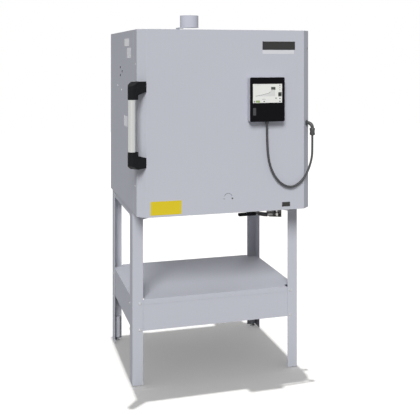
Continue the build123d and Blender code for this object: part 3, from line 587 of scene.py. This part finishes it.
def dense_ceramic():
    return skin(
        "ceramic_body", colours().ceramic, "fired_skin", bump=0.2, depth=0.0003,
        effect={"Cloud": 0.06, "Pore Scale": 500.0, "Pores": 0.12}, Roughness=0.7,
    )


def fibre_board():
    return skin(
        "fibre_face", colours().fibre, "fired_skin", stretch=(1, 1, 3), bump=0.5, depth=0.0008,
        effect={"Cloud": 0.05, "Pore Scale": 420.0, "Pores": 0.18}, Roughness=0.95,
    )


def brick_face(name, across, up):
    """Light brick with its joints, on a wall whose courses run along across and rise along up."""
    if name in bpy.data.materials:
        return bpy.data.materials[name]
    material = skin(
        name, colours().brick, "fired_skin", bump=0.5, depth=0.001,
        effect={"Cloud": 0.09, "Pore Scale": 210.0, "Pores": 0.3}, Roughness=0.92,
    )
    tree = material.node_tree
    shader = tree.nodes["Principled BSDF"]
    look = next(node for node in tree.nodes if node.bl_idname == "ShaderNodeGroup")
    bumps = next(node for node in tree.nodes if node.bl_idname == "ShaderNodeBump")
    where = next(node for node in tree.nodes if node.bl_idname == "ShaderNodeTexCoord")
    axes = node_in(tree, "SeparateXYZ", [(0, where.outputs["Object"])])
    face = node_in(tree, "CombineXYZ", [(0, axes.outputs[across]), (1, axes.outputs[up])])
    bricks = node_in(
        tree, "TexBrick", [("Vector", face.outputs[0])], Scale=1.0, Color1=(1, 1, 1, 1),
        Color2=(0.93, 0.91, 0.88, 1), Mortar=(0.62, 0.57, 0.5, 1), **{
            "Brick Width": sizes().brick_length, "Row Height": sizes().brick_height,
            "Mortar Size": 0.0012, "Mortar Smooth": 0.3,
        },
    )
    tint = node_in(
        tree, "Mix", [(6, look.outputs["Colour"]), (7, bricks.outputs["Color"])],
        data_type="RGBA", blend_type="MULTIPLY", Factor=1.0,
    )
    tree.links.new(tint.outputs[2], shader.inputs["Base Color"])
    joint = maths(tree, "SUBTRACT", look.outputs["Height"], bricks.outputs["Fac"])
    tree.links.new(joint, bumps.inputs["Height"])
    return material


SLOT_LOOKS = {
    "casing_paint": paint, "stand_paint": paint, "stainless": steel_sheet,
    "fasteners": zinc_steel, "hinge_steel": zinc_steel, "black_plastic": black_plastic,
    "dense_ceramic": dense_ceramic, "fibre_board": fibre_board,
    "satin_aluminium": satin_aluminium,
}


def plate_print(name, colour, roughness):
    return skin(
        name, colour, "powder_coat_skin", bump=0.04, effect={"Cloud": 0.04, "Roughness": roughness}
    )


class KILN_OT_stage(bpy.types.Operator):
    """Set the camera, the pale floor and the soft studio light"""
    bl_idname = "kiln.stage"
    bl_label = "Stage"

    def execute(self, context):
        scene, light = context.scene, context.scene.kiln_stage
        scene.view_settings.view_transform = "Standard"
        clear_selection()
        bpy.ops.object.camera_add(
            location=CAMERA_PLACE, rotation=(radians(90), 0, radians(CAMERA_TURN))
        )
        scene.camera = context.object
        lens = scene.camera.data
        lens.sensor_width, lens.lens, lens.shift_y = SENSOR_WIDTH, LENS_LENGTH, LENS_SHIFT
        clear_selection()
        bpy.ops.mesh.primitive_plane_add(size=24, location=(0, 0, 0))
        floor = settle(context.object)
        floor.name = "studio_floor"
        floor.data.materials.append(self.floor_look())
        self.lamp("key_light", light.key, -22, 36, 24)
        self.lamp("fill_light", light.fill, 150, 28, 30)
        self.lamp("floor_light", light.top, 0, 90, 1.2)
        links = (("floor_light", "INCLUDE"), ("key_light", "EXCLUDE"), ("fill_light", "EXCLUDE"))
        for name, state in links:
            lit = bpy.data.collections.new("lit_by_" + name)
            lit.objects.link(floor)
            bpy.data.objects[name].light_linking.receiver_collection = lit
            lit.collection_objects[0].light_linking.link_state = state
        self.room_light(scene, light.room)
        return {"FINISHED"}

    def lamp(self, name, strength, azimuth, elevation, spread):
        """A far lamp whose light comes from an azimuth, 0 at the front, and an elevation."""
        clear_selection()
        bpy.ops.object.light_add(type="SUN", location=(0, 0, 4))
        lamp = bpy.context.object
        lamp.name = name
        flat = cos(radians(elevation))
        toward = Vector((
            sin(radians(azimuth)) * flat, -cos(radians(azimuth)) * flat, sin(radians(elevation))
        ))
        lamp.rotation_euler = toward.to_track_quat("Z", "Y").to_euler()
        lamp.data.energy = strength
        lamp.data.angle = radians(spread)

    def seen(self, tree, path):
        """1 where the camera or a reflection looks, and 0 for the light that is thrown on."""
        camera, glossy = path.outputs["Is Camera Ray"], path.outputs["Is Glossy Ray"]
        return maths(tree, "MAXIMUM", camera, glossy)

    def floor_look(self):
        """A floor that looks white to the camera, keeps the shadow and throws little light back."""
        material = bpy.data.materials.new("studio_floor")
        material.use_nodes = True
        tree = material.node_tree
        tree.nodes.remove(tree.nodes["Principled BSDF"])
        seen = self.seen(tree, node_in(tree, "LightPath"))
        glow = maths(tree, "MULTIPLY", seen, 0.2)
        shade = node_in(
            tree, "Mix", [("Factor", seen)], data_type="RGBA", in_6=(0.34, 0.34, 0.335, 1),
            in_7=(0.86, 0.85, 0.83, 1),
        )
        plain = node_in(tree, "BsdfDiffuse", [("Color", shade.outputs[2])])
        lit = node_in(tree, "Emission", [("Strength", glow)], Color=(1, 1, 1, 1))
        both = node_in(tree, "AddShader", [(0, plain.outputs[0]), (1, lit.outputs[0])])
        tree.links.new(both.outputs[0], tree.nodes["Material Output"].inputs["Surface"])
        return material

    def room_light(self, scene, strength):
        """Even light from all sides, white to the camera, in reflections and through glass."""
        world = bpy.data.worlds.new("studio_room")
        scene.world = world
        world.use_nodes = True
        tree = world.node_tree
        tree.nodes.clear()
        path = node_in(tree, "LightPath")
        through = path.outputs["Is Transmission Ray"]
        shown = maths(tree, "MAXIMUM", self.seen(tree, path), through)
        room = node_in(tree, "Background", Color=(1, 1, 1, 1), Strength=strength)
        white = node_in(tree, "Background", Color=(1, 1, 1, 1), Strength=1.0)
        pick = node_in(
            tree, "MixShader", [(0, shown), (1, room.outputs[0]), (2, white.outputs[0])]
        )
        end = node_in(tree, "OutputWorld")
        tree.links.new(pick.outputs[0], end.inputs["Surface"])


class KILN_OT_cable(bpy.types.Operator):
    """Hang the control cable from the controller to the elbow on the door"""
    bl_idname = "kiln.cable"
    bl_label = "Control Cable"

    def execute(self, context):
        curve = bpy.data.curves.new("control_cable_sheath", "CURVE")
        curve.dimensions = "3D"
        curve.bevel_depth = 0.0055
        curve.bevel_resolution = sizes().cable_sides
        curve.resolution_u = 10
        curve.use_fill_caps = True
        spline = curve.splines.new("NURBS")
        spline.points.add(len(CABLE_ROUTE) - 1)
        for point, spot in zip(spline.points, CABLE_ROUTE):
            point.co = (*spot, 1)
        spline.order_u = 3
        spline.use_endpoint_u = True
        cable = bpy.data.objects.new("control_cable_sheath", curve)
        context.collection.objects.link(cable)
        rubber = moulding("cable_sheath", colours().cable, bump=0.2, roughness=0.55)
        fit(cable, "door", "cable_rubber", "control_cable", look=rubber)
        return {"FINISHED"}


class KILN_OT_casing(bpy.types.Operator):
    """Paint the casing's sheets and finish its steel frame"""
    bl_idname = "kiln.casing"
    bl_label = "Casing"

    def execute(self, context):
        edge = sizes().sheet_edge
        painted = (
            "casing_side_left", "casing_side_right", "casing_roof", "casing_rear_panel",
            "terminal_cover",
        )
        for node in painted:
            finish(node + "_sheet", node, edge, "kiln", "casing_paint")
        for node in ("casing_front_frame", "casing_floor_pan", "inner_casing"):
            finish(node + "_sheet", node, edge, "kiln", "stainless")
        return {"FINISHED"}


class KILN_OT_stand(bpy.types.Operator):
    """Paint the legs, rails, shelf and apron of the stand"""
    bl_idname = "kiln.stand"
    bl_label = "Stand"

    def execute(self, context):
        edge = sizes().sheet_edge
        legs = ("leg_front_left", "leg_front_right", "leg_rear_left", "leg_rear_right")
        for node in (*legs, "top_frame", "shelf_tray", "apron_frame"):
            finish(node + "_profile", node, edge, "kiln", "stand_paint")
        return {"FINISHED"}


class KILN_OT_feet(bpy.types.Operator):
    """Turn the levelling feet with their studs"""
    bl_idname = "kiln.feet"
    bl_label = "Levelling Feet"

    def execute(self, context):
        outline = [
            (0, 0), (0.0145, 0), (0.0155, 0.001), (0.0155, 0.0062), (0.0148, 0.007),
            (0.0085, 0.0105), (0.0072, 0.0130),
        ]
        for ridge in range(18):
            height = 0.0135 + ridge * 0.0025
            outline += [(0.00545, height), (0.00595, height + 0.00125)]
        outline += [(0.0054, 0.0595), (0, 0.0600)]
        foot = turned_piece("levelling_foot", outline, 40)
        spots = [
            ((x - side * FOOT_INSET, y - end * FOOT_SETBACK, 0), (0, 0, 1))
            for side, end, x, y in leg_corners()
        ]
        feet = copies("turned_feet", foot, spots)
        fit(feet, "kiln", "fasteners", "levelling_feet")
        return {"FINISHED"}


class KILN_OT_fasteners(bpy.types.Operator):
    """Set the bolts, screws and hole plugs"""
    bl_idname = "kiln.fasteners"
    bl_label = "Fasteners"

    def execute(self, context):
        self.bolts()
        self.screws()
        self.plugs()
        return {"FINISHED"}

    def bolt(self):
        """A hexagon head on its washer."""
        washer = turned_piece(
            "washer",
            [(0, 0), (0.0072, 0), (0.0075, 0.0003), (0.0075, 0.0010), (0.0070, 0.0013),
             (0, 0.0013)],
        )
        head = soften(cylinder(6, 0.0062, 0.0027, (0, 0, 0.00265)), 0.0005)
        return join("bolt", [head, washer])

    def screw(self):
        """A button head with a hexagon socket."""
        radius, height = 0.005, 0.0025
        outline = [(0, 0), (radius, 0), (radius, 0.3 * height)]
        outline += [(radius * cos(a), height * (0.3 + 0.7 * sin(a))) for a in (0.35, 0.7, 1.0)]
        outline += [(0, height)]
        head = turned_piece("screw", outline, 30)
        cut(head, cylinder(6, 0.42 * radius, height, (0, 0, 0.95 * height)))
        return smooth(head)

    def bolts(self):
        spots = []
        for side, end, x, y in leg_corners():
            for level in BOLT_LEVELS:
                spots.append(((x - side * BOLT_INSET, y, level), (0, end, 0)))
            for level in SIDE_BOLT_LEVELS:
                spots.append(((x, y - end * BOLT_SETBACK, level), (side, 0, 0)))
        bolts = copies("leg_bolts", self.bolt(), spots)
        fit(bolts, "kiln", "fasteners", "stand_bolts")

    def screws(self):
        spots = [
            ((side * CASING_SIDE, SIDE_SCREW_Y, level), (side, 0, 0))
            for side in (-1, 1) for level in SIDE_SCREW_LEVELS
        ]
        heads = copies("door_side_screws", self.screw(), spots)
        fit(heads, "door", "fasteners", "door_screws")
        spots = [
            ((side * REAR_SCREW_X, REAR_FACE, level), (0, 1, 0))
            for side in (-1, 1) for level in REAR_SCREW_LEVELS
        ]
        spots += [
            ((SADDLE_SCREW_X, EXHAUST_Y + side * SADDLE_SCREW_REACH, SADDLE_TOP), (0, 0, 1))
            for side in (-1, 1)
        ]
        heads = copies("rear_screws", self.screw(), spots)
        fit(heads, "kiln", "fasteners", "casing_screws")

    def plugs(self):
        """Domed plugs in the holes of the left side."""
        plug = turned_piece(
            "plug",
            [(0, -0.003), (0.0039, -0.003), (0.0039, 0), (0.006, 0), (0.0058, 0.0012),
             (0.0040, 0.0022), (0, 0.0025)],
            28,
        )
        kinds = (
            ("hole_plugs", own_copy(plug), BLACK_PLUGS, "black_plastic"),
            ("grey_hole_plugs", plug, GREY_PLUGS, "fasteners"),
        )
        for name, source, places, slot in kinds:
            spots = [((-CASING_SIDE, y, z), (-1, 0, 0)) for y, z in places]
            fit(copies(name, source, spots), "kiln", slot)


class KILN_OT_exhaust(bpy.types.Operator):
    """Roll the exhaust pipe with its bead, on its bent bracket, over the duct"""
    bl_idname = "kiln.exhaust"
    bl_label = "Exhaust"

    def execute(self, context):
        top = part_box("exhaust_pipe")[1][2]
        base = top - PIPE_LENGTH
        outline = [
            (PIPE_INNER, base), (PIPE_RADIUS, base), (PIPE_RADIUS, base + 0.0655),
            (0.0508, top - 0.0003), (0.0502, top), (0.0498, top - 0.0003),
            (PIPE_INNER, top - 0.001),
        ]
        shell = turned_piece("exhaust_pipe_shell", outline, PIPE_SIDES)
        pipe = place(shell, (EXHAUST_X, EXHAUST_Y, 0))
        saddle = sheet_piece("exhaust_saddle", SADDLE_OUTLINE, SADDLE_WIDTH)
        stand(saddle, (0, EXHAUST_Y + SADDLE_WIDTH / 2, 0))
        cut(saddle, cylinder(PIPE_SIDES, 0.0496, 0.05, (EXHAUST_X, EXHAUST_Y, 1.765)))
        soften(saddle, 0.0006)
        clear_selection()
        bpy.ops.mesh.primitive_torus_add(
            major_radius=0.0512, minor_radius=0.0012, major_segments=PIPE_SIDES,
            minor_segments=8, location=(EXHAUST_X, EXHAUST_Y, base + 0.0014),
        )
        weld = smooth(settle(context.object))
        whole = join("exhaust_outlet", [pipe, saddle, weld])
        fit(whole, "kiln", "casing_paint", "exhaust_pipe")
        finish("exhaust_duct_tube", "exhaust_duct", 0.0008, "kiln", "dense_ceramic")
        return {"FINISHED"}


class KILN_OT_air_inlet(bpy.types.Operator):
    """Finish the air inlet's tube, bracket, lever and grip"""
    bl_idname = "kiln.air_inlet"
    bl_label = "Air Inlet"

    def execute(self, context):
        edge = sizes().sheet_edge
        finish("inlet_tube", "air_inlet_tube", 0.0008, "kiln", "dense_ceramic")
        low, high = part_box("air_inlet_bracket")
        web = sheet_piece(
            "inlet_web",
            [(low[0], low[2] + WEB_SLOPE), (high[0], low[2] + WEB_EDGE),
             (high[0], high[2] - WEB_EDGE), (low[0], high[2] - WEB_EDGE)],
            INLET_SHEET,
        )
        stand(web, (0, high[1], 0))
        channel = shaped_copy("inlet_bracket", "air_inlet_bracket", edge)
        bracket = join("inlet_channel", [channel, web])
        fit(bracket, "kiln", "stainless", "air_inlet_bracket")
        low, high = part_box("air_inlet_lever")
        rim = sheet_piece("lever_rim", [(x, high[2] + z) for x, z in LEVER_RIM], INLET_SHEET)
        stand(rim, (0, low[1] + INLET_SHEET, 0))
        lever = join("inlet_lever_plate", [shaped_copy("inlet_arm", "air_inlet_lever", edge), rim])
        # The lever and its rim are near black. On the rim this dark is painted shade, standing in
        # for the shaded flange of the bracket.
        lever_look = metal(
            "blackened_steel", (0.03, 0.031, 0.033), (300, 300, 300), bump=0.1, grain=0.2,
            roughness=0.45, metallic=0.6,
        )
        fit(lever, "inlet_lever", "lever_steel", "air_inlet_lever", look=lever_look)
        finish("inlet_grip_moulding", "air_inlet_grip", 0.0004, "inlet_lever", "black_plastic")
        return {"FINISHED"}


class KILN_OT_lining(bpy.types.Operator):
    """Lay the bricks, boards and floor plate of the chamber"""
    bl_idname = "kiln.lining"
    bl_label = "Lining"

    def execute(self, context):
        edge = sizes().brick_edge
        side_look = brick_face("brick_side_wall", 1, 2)
        faces = {
            "brick_wall_left": side_look, "brick_wall_right": side_look,
            "brick_wall_rear": brick_face("brick_rear_wall", 0, 2),
            "brick_floor": brick_face("brick_flat", 0, 1),
            "brick_roof": brick_face("brick_flat", 0, 1),
        }
        for node, look in faces.items():
            finish(node + "_bricks", node, edge, "kiln", "light_brick", look)
        finish("insulation_boards", "backup_insulation", 0.001, "kiln", "fibre_board")
        carbide = skin(
            "carbide_tile", (0.055, 0.058, 0.062), "fired_skin", bump=0.35, depth=0.0004,
            effect={"Cloud": 0.15, "Pore Scale": 600.0, "Pores": 0.3}, Roughness=0.6,
        )
        finish("floor_tile", "floor_plate", 0.0015, "kiln", "floor_carbide", carbide)
        finish("thermocouple_sheath", "thermocouple", 0.0008, "kiln", "dense_ceramic")
        finish("coil_support_tubes", "support_tubes", 0.0006, "kiln", "dense_ceramic")
        return {"FINISHED"}


class KILN_OT_coils(bpy.types.Operator):
    """Wind the heating wire round its support tubes"""
    bl_idname = "kiln.coils"
    bl_label = "Heating Coils"

    def execute(self, context):
        wire, pitch = sizes().coil_wire, sizes().coil_pitch
        low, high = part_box("heating_coils")
        turns = int((high[1] - low[1] - wire) / pitch)
        clear_selection()
        bpy.ops.mesh.primitive_circle_add(
            vertices=6, radius=wire / 2, location=(COIL_RADIUS - wire / 2, 0, 0),
            rotation=(pi / 2, 0, 0),
        )
        coil = settle(context.object)
        modify(
            coil, "SCREW", axis="Z", angle=2 * pi, screw_offset=pitch, iterations=turns, steps=12,
            render_steps=12, use_merge_vertices=True,
        )
        edit(coil, MERGE, OUTWARDS)
        modify(coil, "TRIANGULATE")
        smooth(coil, 60)
        start = (low[1] + high[1] - turns * pitch) / 2
        spots = [
            ((side * COIL_REACH, start, level), (0, 1, 0))
            for side in (-1, 1) for level in COIL_LEVELS
        ]
        wire_look = metal(
            "oxidised_wire", (0.16, 0.15, 0.145), (500, 500, 500), bump=0.15, grain=0.2,
            roughness=0.6, metallic=0.5,
        )
        coils = copies("wound_coils", coil, spots)
        fit(coils, "kiln", "heating_wire", "heating_coils", look=wire_look)
        return {"FINISHED"}


class KILN_OT_door(bpy.types.Operator):
    """Finish the door's shell, liner, plug, seal and strike plates"""
    bl_idname = "kiln.door"
    bl_label = "Door"

    def execute(self, context):
        edge = sizes().sheet_edge
        finish("door_skin", "door_shell", edge, "door", "casing_paint")
        finish("door_liner_sheet", "door_liner", edge, "door", "stainless")
        finish("door_board", "door_insulation", 0.001, "door", "fibre_board")
        bricks = brick_face("brick_rear_wall", 0, 2)
        finish("door_plug_bricks", "door_plug", sizes().brick_edge, "door", "light_brick", bricks)
        finish("door_seal_rope", "door_seal", 0.0018, "door", "fibre_board", segments=3)
        finish("strike_plate_pair", "strike_plates", 0.0003, "door", "hinge_steel")
        finish("catch_magnet_pair", "catch_magnets", 0.0008, "kiln", "hinge_steel")
        finish("door_switch_case", "door_switch", 0.0008, "kiln", "black_plastic")
        return {"FINISHED"}


class KILN_OT_hinges(bpy.types.Operator):
    """Finish the lift-off hinges"""
    bl_idname = "kiln.hinges"
    bl_label = "Hinges"

    def execute(self, context):
        bodies = {"hinge_fixed_leaves": "kiln", "hinge_door_leaves": "door", "hinge_pins": "kiln"}
        for node, body in bodies.items():
            finish(node + "_finished", node, 0.0006, body, "hinge_steel")
        return {"FINISHED"}


class KILN_OT_handle(bpy.types.Operator):
    """Finish the door's handle: two moulded brackets and a satin tube"""
    bl_idname = "kiln.handle"
    bl_label = "Door Handle"

    def execute(self, context):
        for end in ("upper", "lower"):
            node = "handle_bracket_" + end
            finish(node + "_moulding", node, 0.0015, "door", "black_plastic", segments=3)
        low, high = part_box("handle_tube")
        outline = [(0.0145, low[2]), (0.017, low[2]), (0.017, high[2]), (0.0145, high[2])]
        spot = ((low[0] + high[0]) / 2, (low[1] + high[1]) / 2, 0)
        tube = place(turned_piece("handle_bar", outline, 64), spot)
        fit(tube, "door", "satin_aluminium", "handle_tube")
        return {"FINISHED"}


class KILN_OT_controller(bpy.types.Operator):
    """Finish the controller's holder, housing, fascia and socket cover"""
    bl_idname = "kiln.controller"
    bl_label = "Controller"

    def execute(self, context):
        finish("controller_holder_plate", "controller_holder", 0.0008, "door", "black_plastic")
        finish("controller_case", "controller_housing", 0.0008, "door", "casing_paint")
        gloss = moulding(
            "fascia_gloss", (0.005, 0.0045, 0.006), bump=0.03, roughness=0.24,
            Specular_IOR_Level=0.05,
        )
        finish("controller_front", "controller_fascia", 0.0003, "door", "fascia_plastic", gloss)
        matt = moulding("cover_plastic", (0.035, 0.036, 0.04), bump=0.1, roughness=0.45)
        finish("socket_cover_flap", "usb_cover", 0.0003, "usb_cover_body", "black_plastic", matt)
        return {"FINISHED"}


class KILN_OT_screen(bpy.types.Operator):
    """Draw the touch screen with a plain heating curve and blank buttons"""
    bl_idname = "kiln.screen"
    bl_label = "Touch Screen"

    def execute(self, context):
        low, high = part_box("display_glass")
        self.left, self.low, self.front = low[0], low[2], low[1]
        self.width, self.height = high[0] - low[0], high[2] - low[2]
        panel = box_piece("screen_panel", (low[0], self.front + 0.0002, low[2]), high, 0.0003)
        screen_look = skin(
            "screen_white", colours().screen, "powder_coat_skin", bump=0.0,
            effect={"Cloud": 0.01, "Roughness": 0.2}, Coat_Weight=0.5,
        )
        fit(panel, "door", "screen_glass", "display_glass", look=screen_look)
        self.ink("screen_pale_marks", (0.66, 0.67, 0.66), [
            self.shape([(0.08, 0.36), (0.30, 0.42), (0.52, 0.50), (0.60, 0.58), (0.66, 0.68),
                        (0.76, 0.68), (0.76, 0.36)], 0.00004),
            self.bar(0.05, 0.93, 0.28, 0.955), self.bar(0.86, 0.86, 0.97, 0.88),
            self.bar(0.86, 0.74, 0.97, 0.76), self.bar(0.08, 0.33, 0.78, 0.338),
        ])
        curve = [(0.08, 0.37), (0.30, 0.43), (0.52, 0.51), (0.60, 0.59), (0.66, 0.69), (0.76, 0.69)]
        back = [(x, y - 0.014) for x, y in reversed(curve)]
        self.ink("screen_dark_marks", (0.05, 0.055, 0.05), [
            self.shape([*curve, *back], 0.00008),
            self.bar(0.62, 0.70, 0.77, 0.84), self.bar(0.865, 0.33, 0.985, 0.56),
            self.bar(0.36, 0.05, 0.405, 0.10), self.dot(0.925, 0.93, 0.02),
            self.dot(0.925, 0.81, 0.014), self.dot(0.925, 0.69, 0.014),
            self.dot(0.925, 0.22, 0.022), self.bar(0.90, 0.05, 0.95, 0.10),
            self.bar(0.31, 0.19, 0.43, 0.205),
        ])
        self.ink("screen_green_marks", (0.30, 0.40, 0.16), [
            self.bar(0.09, 0.02, 0.24, 0.13), self.bar(0.895, 0.40, 0.955, 0.49),
        ])
        self.ink("screen_grey_marks", (0.30, 0.31, 0.31), [
            self.bar(0.02, 0.03, 0.075, 0.12), self.dot(0.79, 0.24, 0.026),
        ])
        return {"FINISHED"}

    def spot(self, x, y):
        return self.left + x * self.width, self.low + y * self.height

    def shape(self, outline, lift=0.0001):
        """A flat shape on the screen, from points in shares of its width and height."""
        piece = sheet_piece("mark", [self.spot(x, y) for x, y in outline], lift)
        return stand(piece, (0, self.front + 0.0002, 0))

    def bar(self, left, low, right, high):
        return self.shape([(left, low), (right, low), (right, high), (left, high)])

    def dot(self, x, y, radius):
        tall = radius * self.width / self.height
        turns = [k * pi / 8 for k in range(16)]
        return self.shape([(x + radius * cos(turn), y + tall * sin(turn)) for turn in turns])

    def ink(self, name, colour, shapes):
        marks = join(name, shapes)
        look = skin(
            name, colour, "powder_coat_skin", bump=0.0, effect={"Cloud": 0.02, "Roughness": 0.2},
            Coat_Weight=0.5,
        )
        fit(marks, "door", "screen_glass", look=look)


class KILN_OT_cable_ends(bpy.types.Operator):
    """Shape the cable's gland, elbow and connector, and the mains gland at the rear"""
    bl_idname = "kiln.cable_ends"
    bl_label = "Cable Ends"

    def execute(self, context):
        moulded = moulding("grey_connector", (0.05, 0.051, 0.052), bump=0.12, roughness=0.42)
        gland = self.ribbed(
            "gland_cap", 0.0090, 0.0006,
            [(0.0055, 0.0), (0.0075, 0.0012), (0.0090, 0.0055), (0.0090, 0.0140)],
            0.0055, 0.0095,
        )
        place(gland, CABLE_ROUTE[0])
        fit(gland, "door", "connector_plastic", "cable_gland", look=moulded)
        plug = self.ribbed(
            "cable_plug", 0.0132, 0.0008,
            [(0.0060, 0.0), (0.0108, 0.0006), (0.0120, 0.0022), (0.0132, 0.0030),
             (0.0132, 0.0120), (0.0120, 0.0126), (0.0120, 0.0234), (0.0132, 0.0240),
             (0.0132, 0.0345), (0.0124, 0.0360)],
            0.0035, 0.0115,
        )
        place(plug, CABLE_ROUTE[-1])
        fit(plug, "door", "connector_plastic", "cable_connector", look=moulded)
        finish("cable_elbow_body", "cable_elbow", 0.0006, "door", "connector_plastic", moulded)
        finish("mains_gland_body", "mains_gland", 0.0005, "kiln", "black_plastic")
        return {"FINISHED"}

    def ribbed(self, name, radius, depth, outline, rib_low, rib_high):
        """A turned piece with ribs cut into the band between two heights."""
        closed = [(0, outline[0][1]), *outline, (0, outline[-1][1])]
        piece = turned_piece(name, closed, 60)
        alone(piece)
        bpy.ops.object.mode_set(mode="EDIT")
        bpy.ops.mesh.select_all(action="DESELECT")
        bpy.ops.object.mode_set(mode="OBJECT")
        for face in piece.data.polygons:
            x, y, z = face.center
            turn = round((Vector((x, y)).angle_signed(Vector((1, 0)), 0) / (2 * pi) * 60) - 0.5)
            upright = abs(face.normal.z) < 0.2 and (x * x + y * y) ** 0.5 > radius - 0.0004
            face.select = upright and rib_low - 0.001 < z < rib_high + 0.001 and turn % 3 == 0
        bpy.ops.object.mode_set(mode="EDIT")
        bpy.ops.mesh.inset(thickness=0.0001, depth=-depth, use_even_offset=False)
        bpy.ops.object.mode_set(mode="OBJECT")
        return smooth(piece, 30)


class KILN_OT_plates(bpy.types.Operator):
    """Fix the bare plates on the door and the side, and the lever's plain marks"""
    bl_idname = "kiln.plates"
    bl_label = "Bare Plates"

    def execute(self, context):
        thick = sizes().plate_height
        dark = plate_print("dark_plate", (0.008, 0.008, 0.007), 0.28)
        pale = plate_print("pale_plate", (0.66, 0.665, 0.70), 0.4)
        faint = plate_print("faint_plate", (0.575, 0.585, 0.635), 0.4)
        yellow = plate_print("yellow_plate", colours().yellow, 0.35)
        door_plates = (
            ("badge_plate", 0.177, 0.347, 1.639, 1.680, dark, 1.0),
            ("badge_strip", 0.177, 0.342, 1.6195, 1.6385, pale, 0.4),
            ("yellow_sign_plate", -0.376, -0.228, 0.8645, 0.929, yellow, 0.5),
            ("small_dark_plate", 0.279, 0.321, 0.871, 0.893, dark, 1.0),
        )
        for name, left, right, low, high, look, share in door_plates:
            face = DOOR_FRONT - thick * share
            plate = box_piece(name, (left, face, low), (right, DOOR_FRONT, high), 0.00015)
            fit(plate, "door", "casing_paint", look=look)
        side_plates = (
            ("side_plate_high", -0.179, -0.045, 1.659, 1.697, pale),
            ("side_plate_middle", -0.235, -0.120, 1.599, 1.650, faint),
            ("side_plate_low", -0.135, -0.029, 1.254, 1.306, faint),
        )
        for name, near, far, low, high, look in side_plates:
            face = -CASING_SIDE - thick * 0.4
            plate = box_piece(name, (face, near, low), (-CASING_SIDE, far, high), 0.0001)
            fit(plate, "kiln", "casing_paint", look=look)
        self.lever_marks(dark)
        return {"FINISHED"}

    def lever_marks(self, look):
        """An arc between a ring and a bar, for the lever's open and closed places."""
        turns = [radians(20 + 14 * k) for k in range(11)]
        outer = [(0.021 * cos(turn), 0.021 * sin(turn)) for turn in turns]
        inner = [(0.0196 * cos(turn), 0.0196 * sin(turn)) for turn in reversed(turns)]
        bar = [(-0.026, -0.006), (-0.016, -0.006), (-0.016, -0.0045), (-0.026, -0.0045)]
        turns = [k * pi / 6 for k in range(12)]
        dot = [(0.021 + 0.004 * cos(turn), -0.005 + 0.004 * sin(turn)) for turn in turns]
        marks = (("arc", outer + inner), ("bar", bar), ("dot", dot))
        pieces = [sheet_piece(name, outline, 0.0002) for name, outline in marks]
        for piece in pieces:
            stand(piece, (0.0025, DOOR_FRONT, 0.930))
        fit(join("lever_marks", pieces), "door", "casing_paint", look=look)


class KILN_PT_panel(bpy.types.Panel):
    """Sizes, colours and steps of the chamber kiln"""
    bl_label = "Chamber Kiln"
    bl_idname = "KILN_PT_panel"
    bl_space_type = "VIEW_3D"
    bl_region_type = "UI"
    bl_category = "Kiln"

    def draw(self, context):
        for settings in SETTINGS:
            group = getattr(context.scene, settings)
            box = self.layout.box()
            for name in group.__annotations__:
                box.prop(group, name)
        for step in STEPS:
            self.layout.operator(step.bl_idname)


STEPS = (
    KILN_OT_stage, KILN_OT_cable, KILN_OT_casing, KILN_OT_stand, KILN_OT_feet, KILN_OT_fasteners,
    KILN_OT_exhaust, KILN_OT_air_inlet, KILN_OT_lining, KILN_OT_coils, KILN_OT_door, KILN_OT_hinges,
    KILN_OT_handle, KILN_OT_controller, KILN_OT_screen, KILN_OT_cable_ends, KILN_OT_plates,
)
SETTINGS = {"kiln_sizes": KilnSizes, "kiln_colours": KilnColours, "kiln_stage": KilnStage}


def register():
    for kind in (*SETTINGS.values(), *STEPS, KILN_PT_panel):
        bpy.utils.register_class(kind)
    for name, kind in SETTINGS.items():
        setattr(bpy.types.Scene, name, PointerProperty(type=kind))


def unregister():
    for name in SETTINGS:
        delattr(bpy.types.Scene, name)
    for kind in (KILN_PT_panel, *reversed(STEPS), *SETTINGS.values()):
        bpy.utils.unregister_class(kind)


def main():
    """Build the kiln step by step."""
    register()
    for step in STEPS:
        group, name = step.bl_idname.split(".")
        getattr(getattr(bpy.ops, group), name)()


if __name__ == "__main__":
    main()
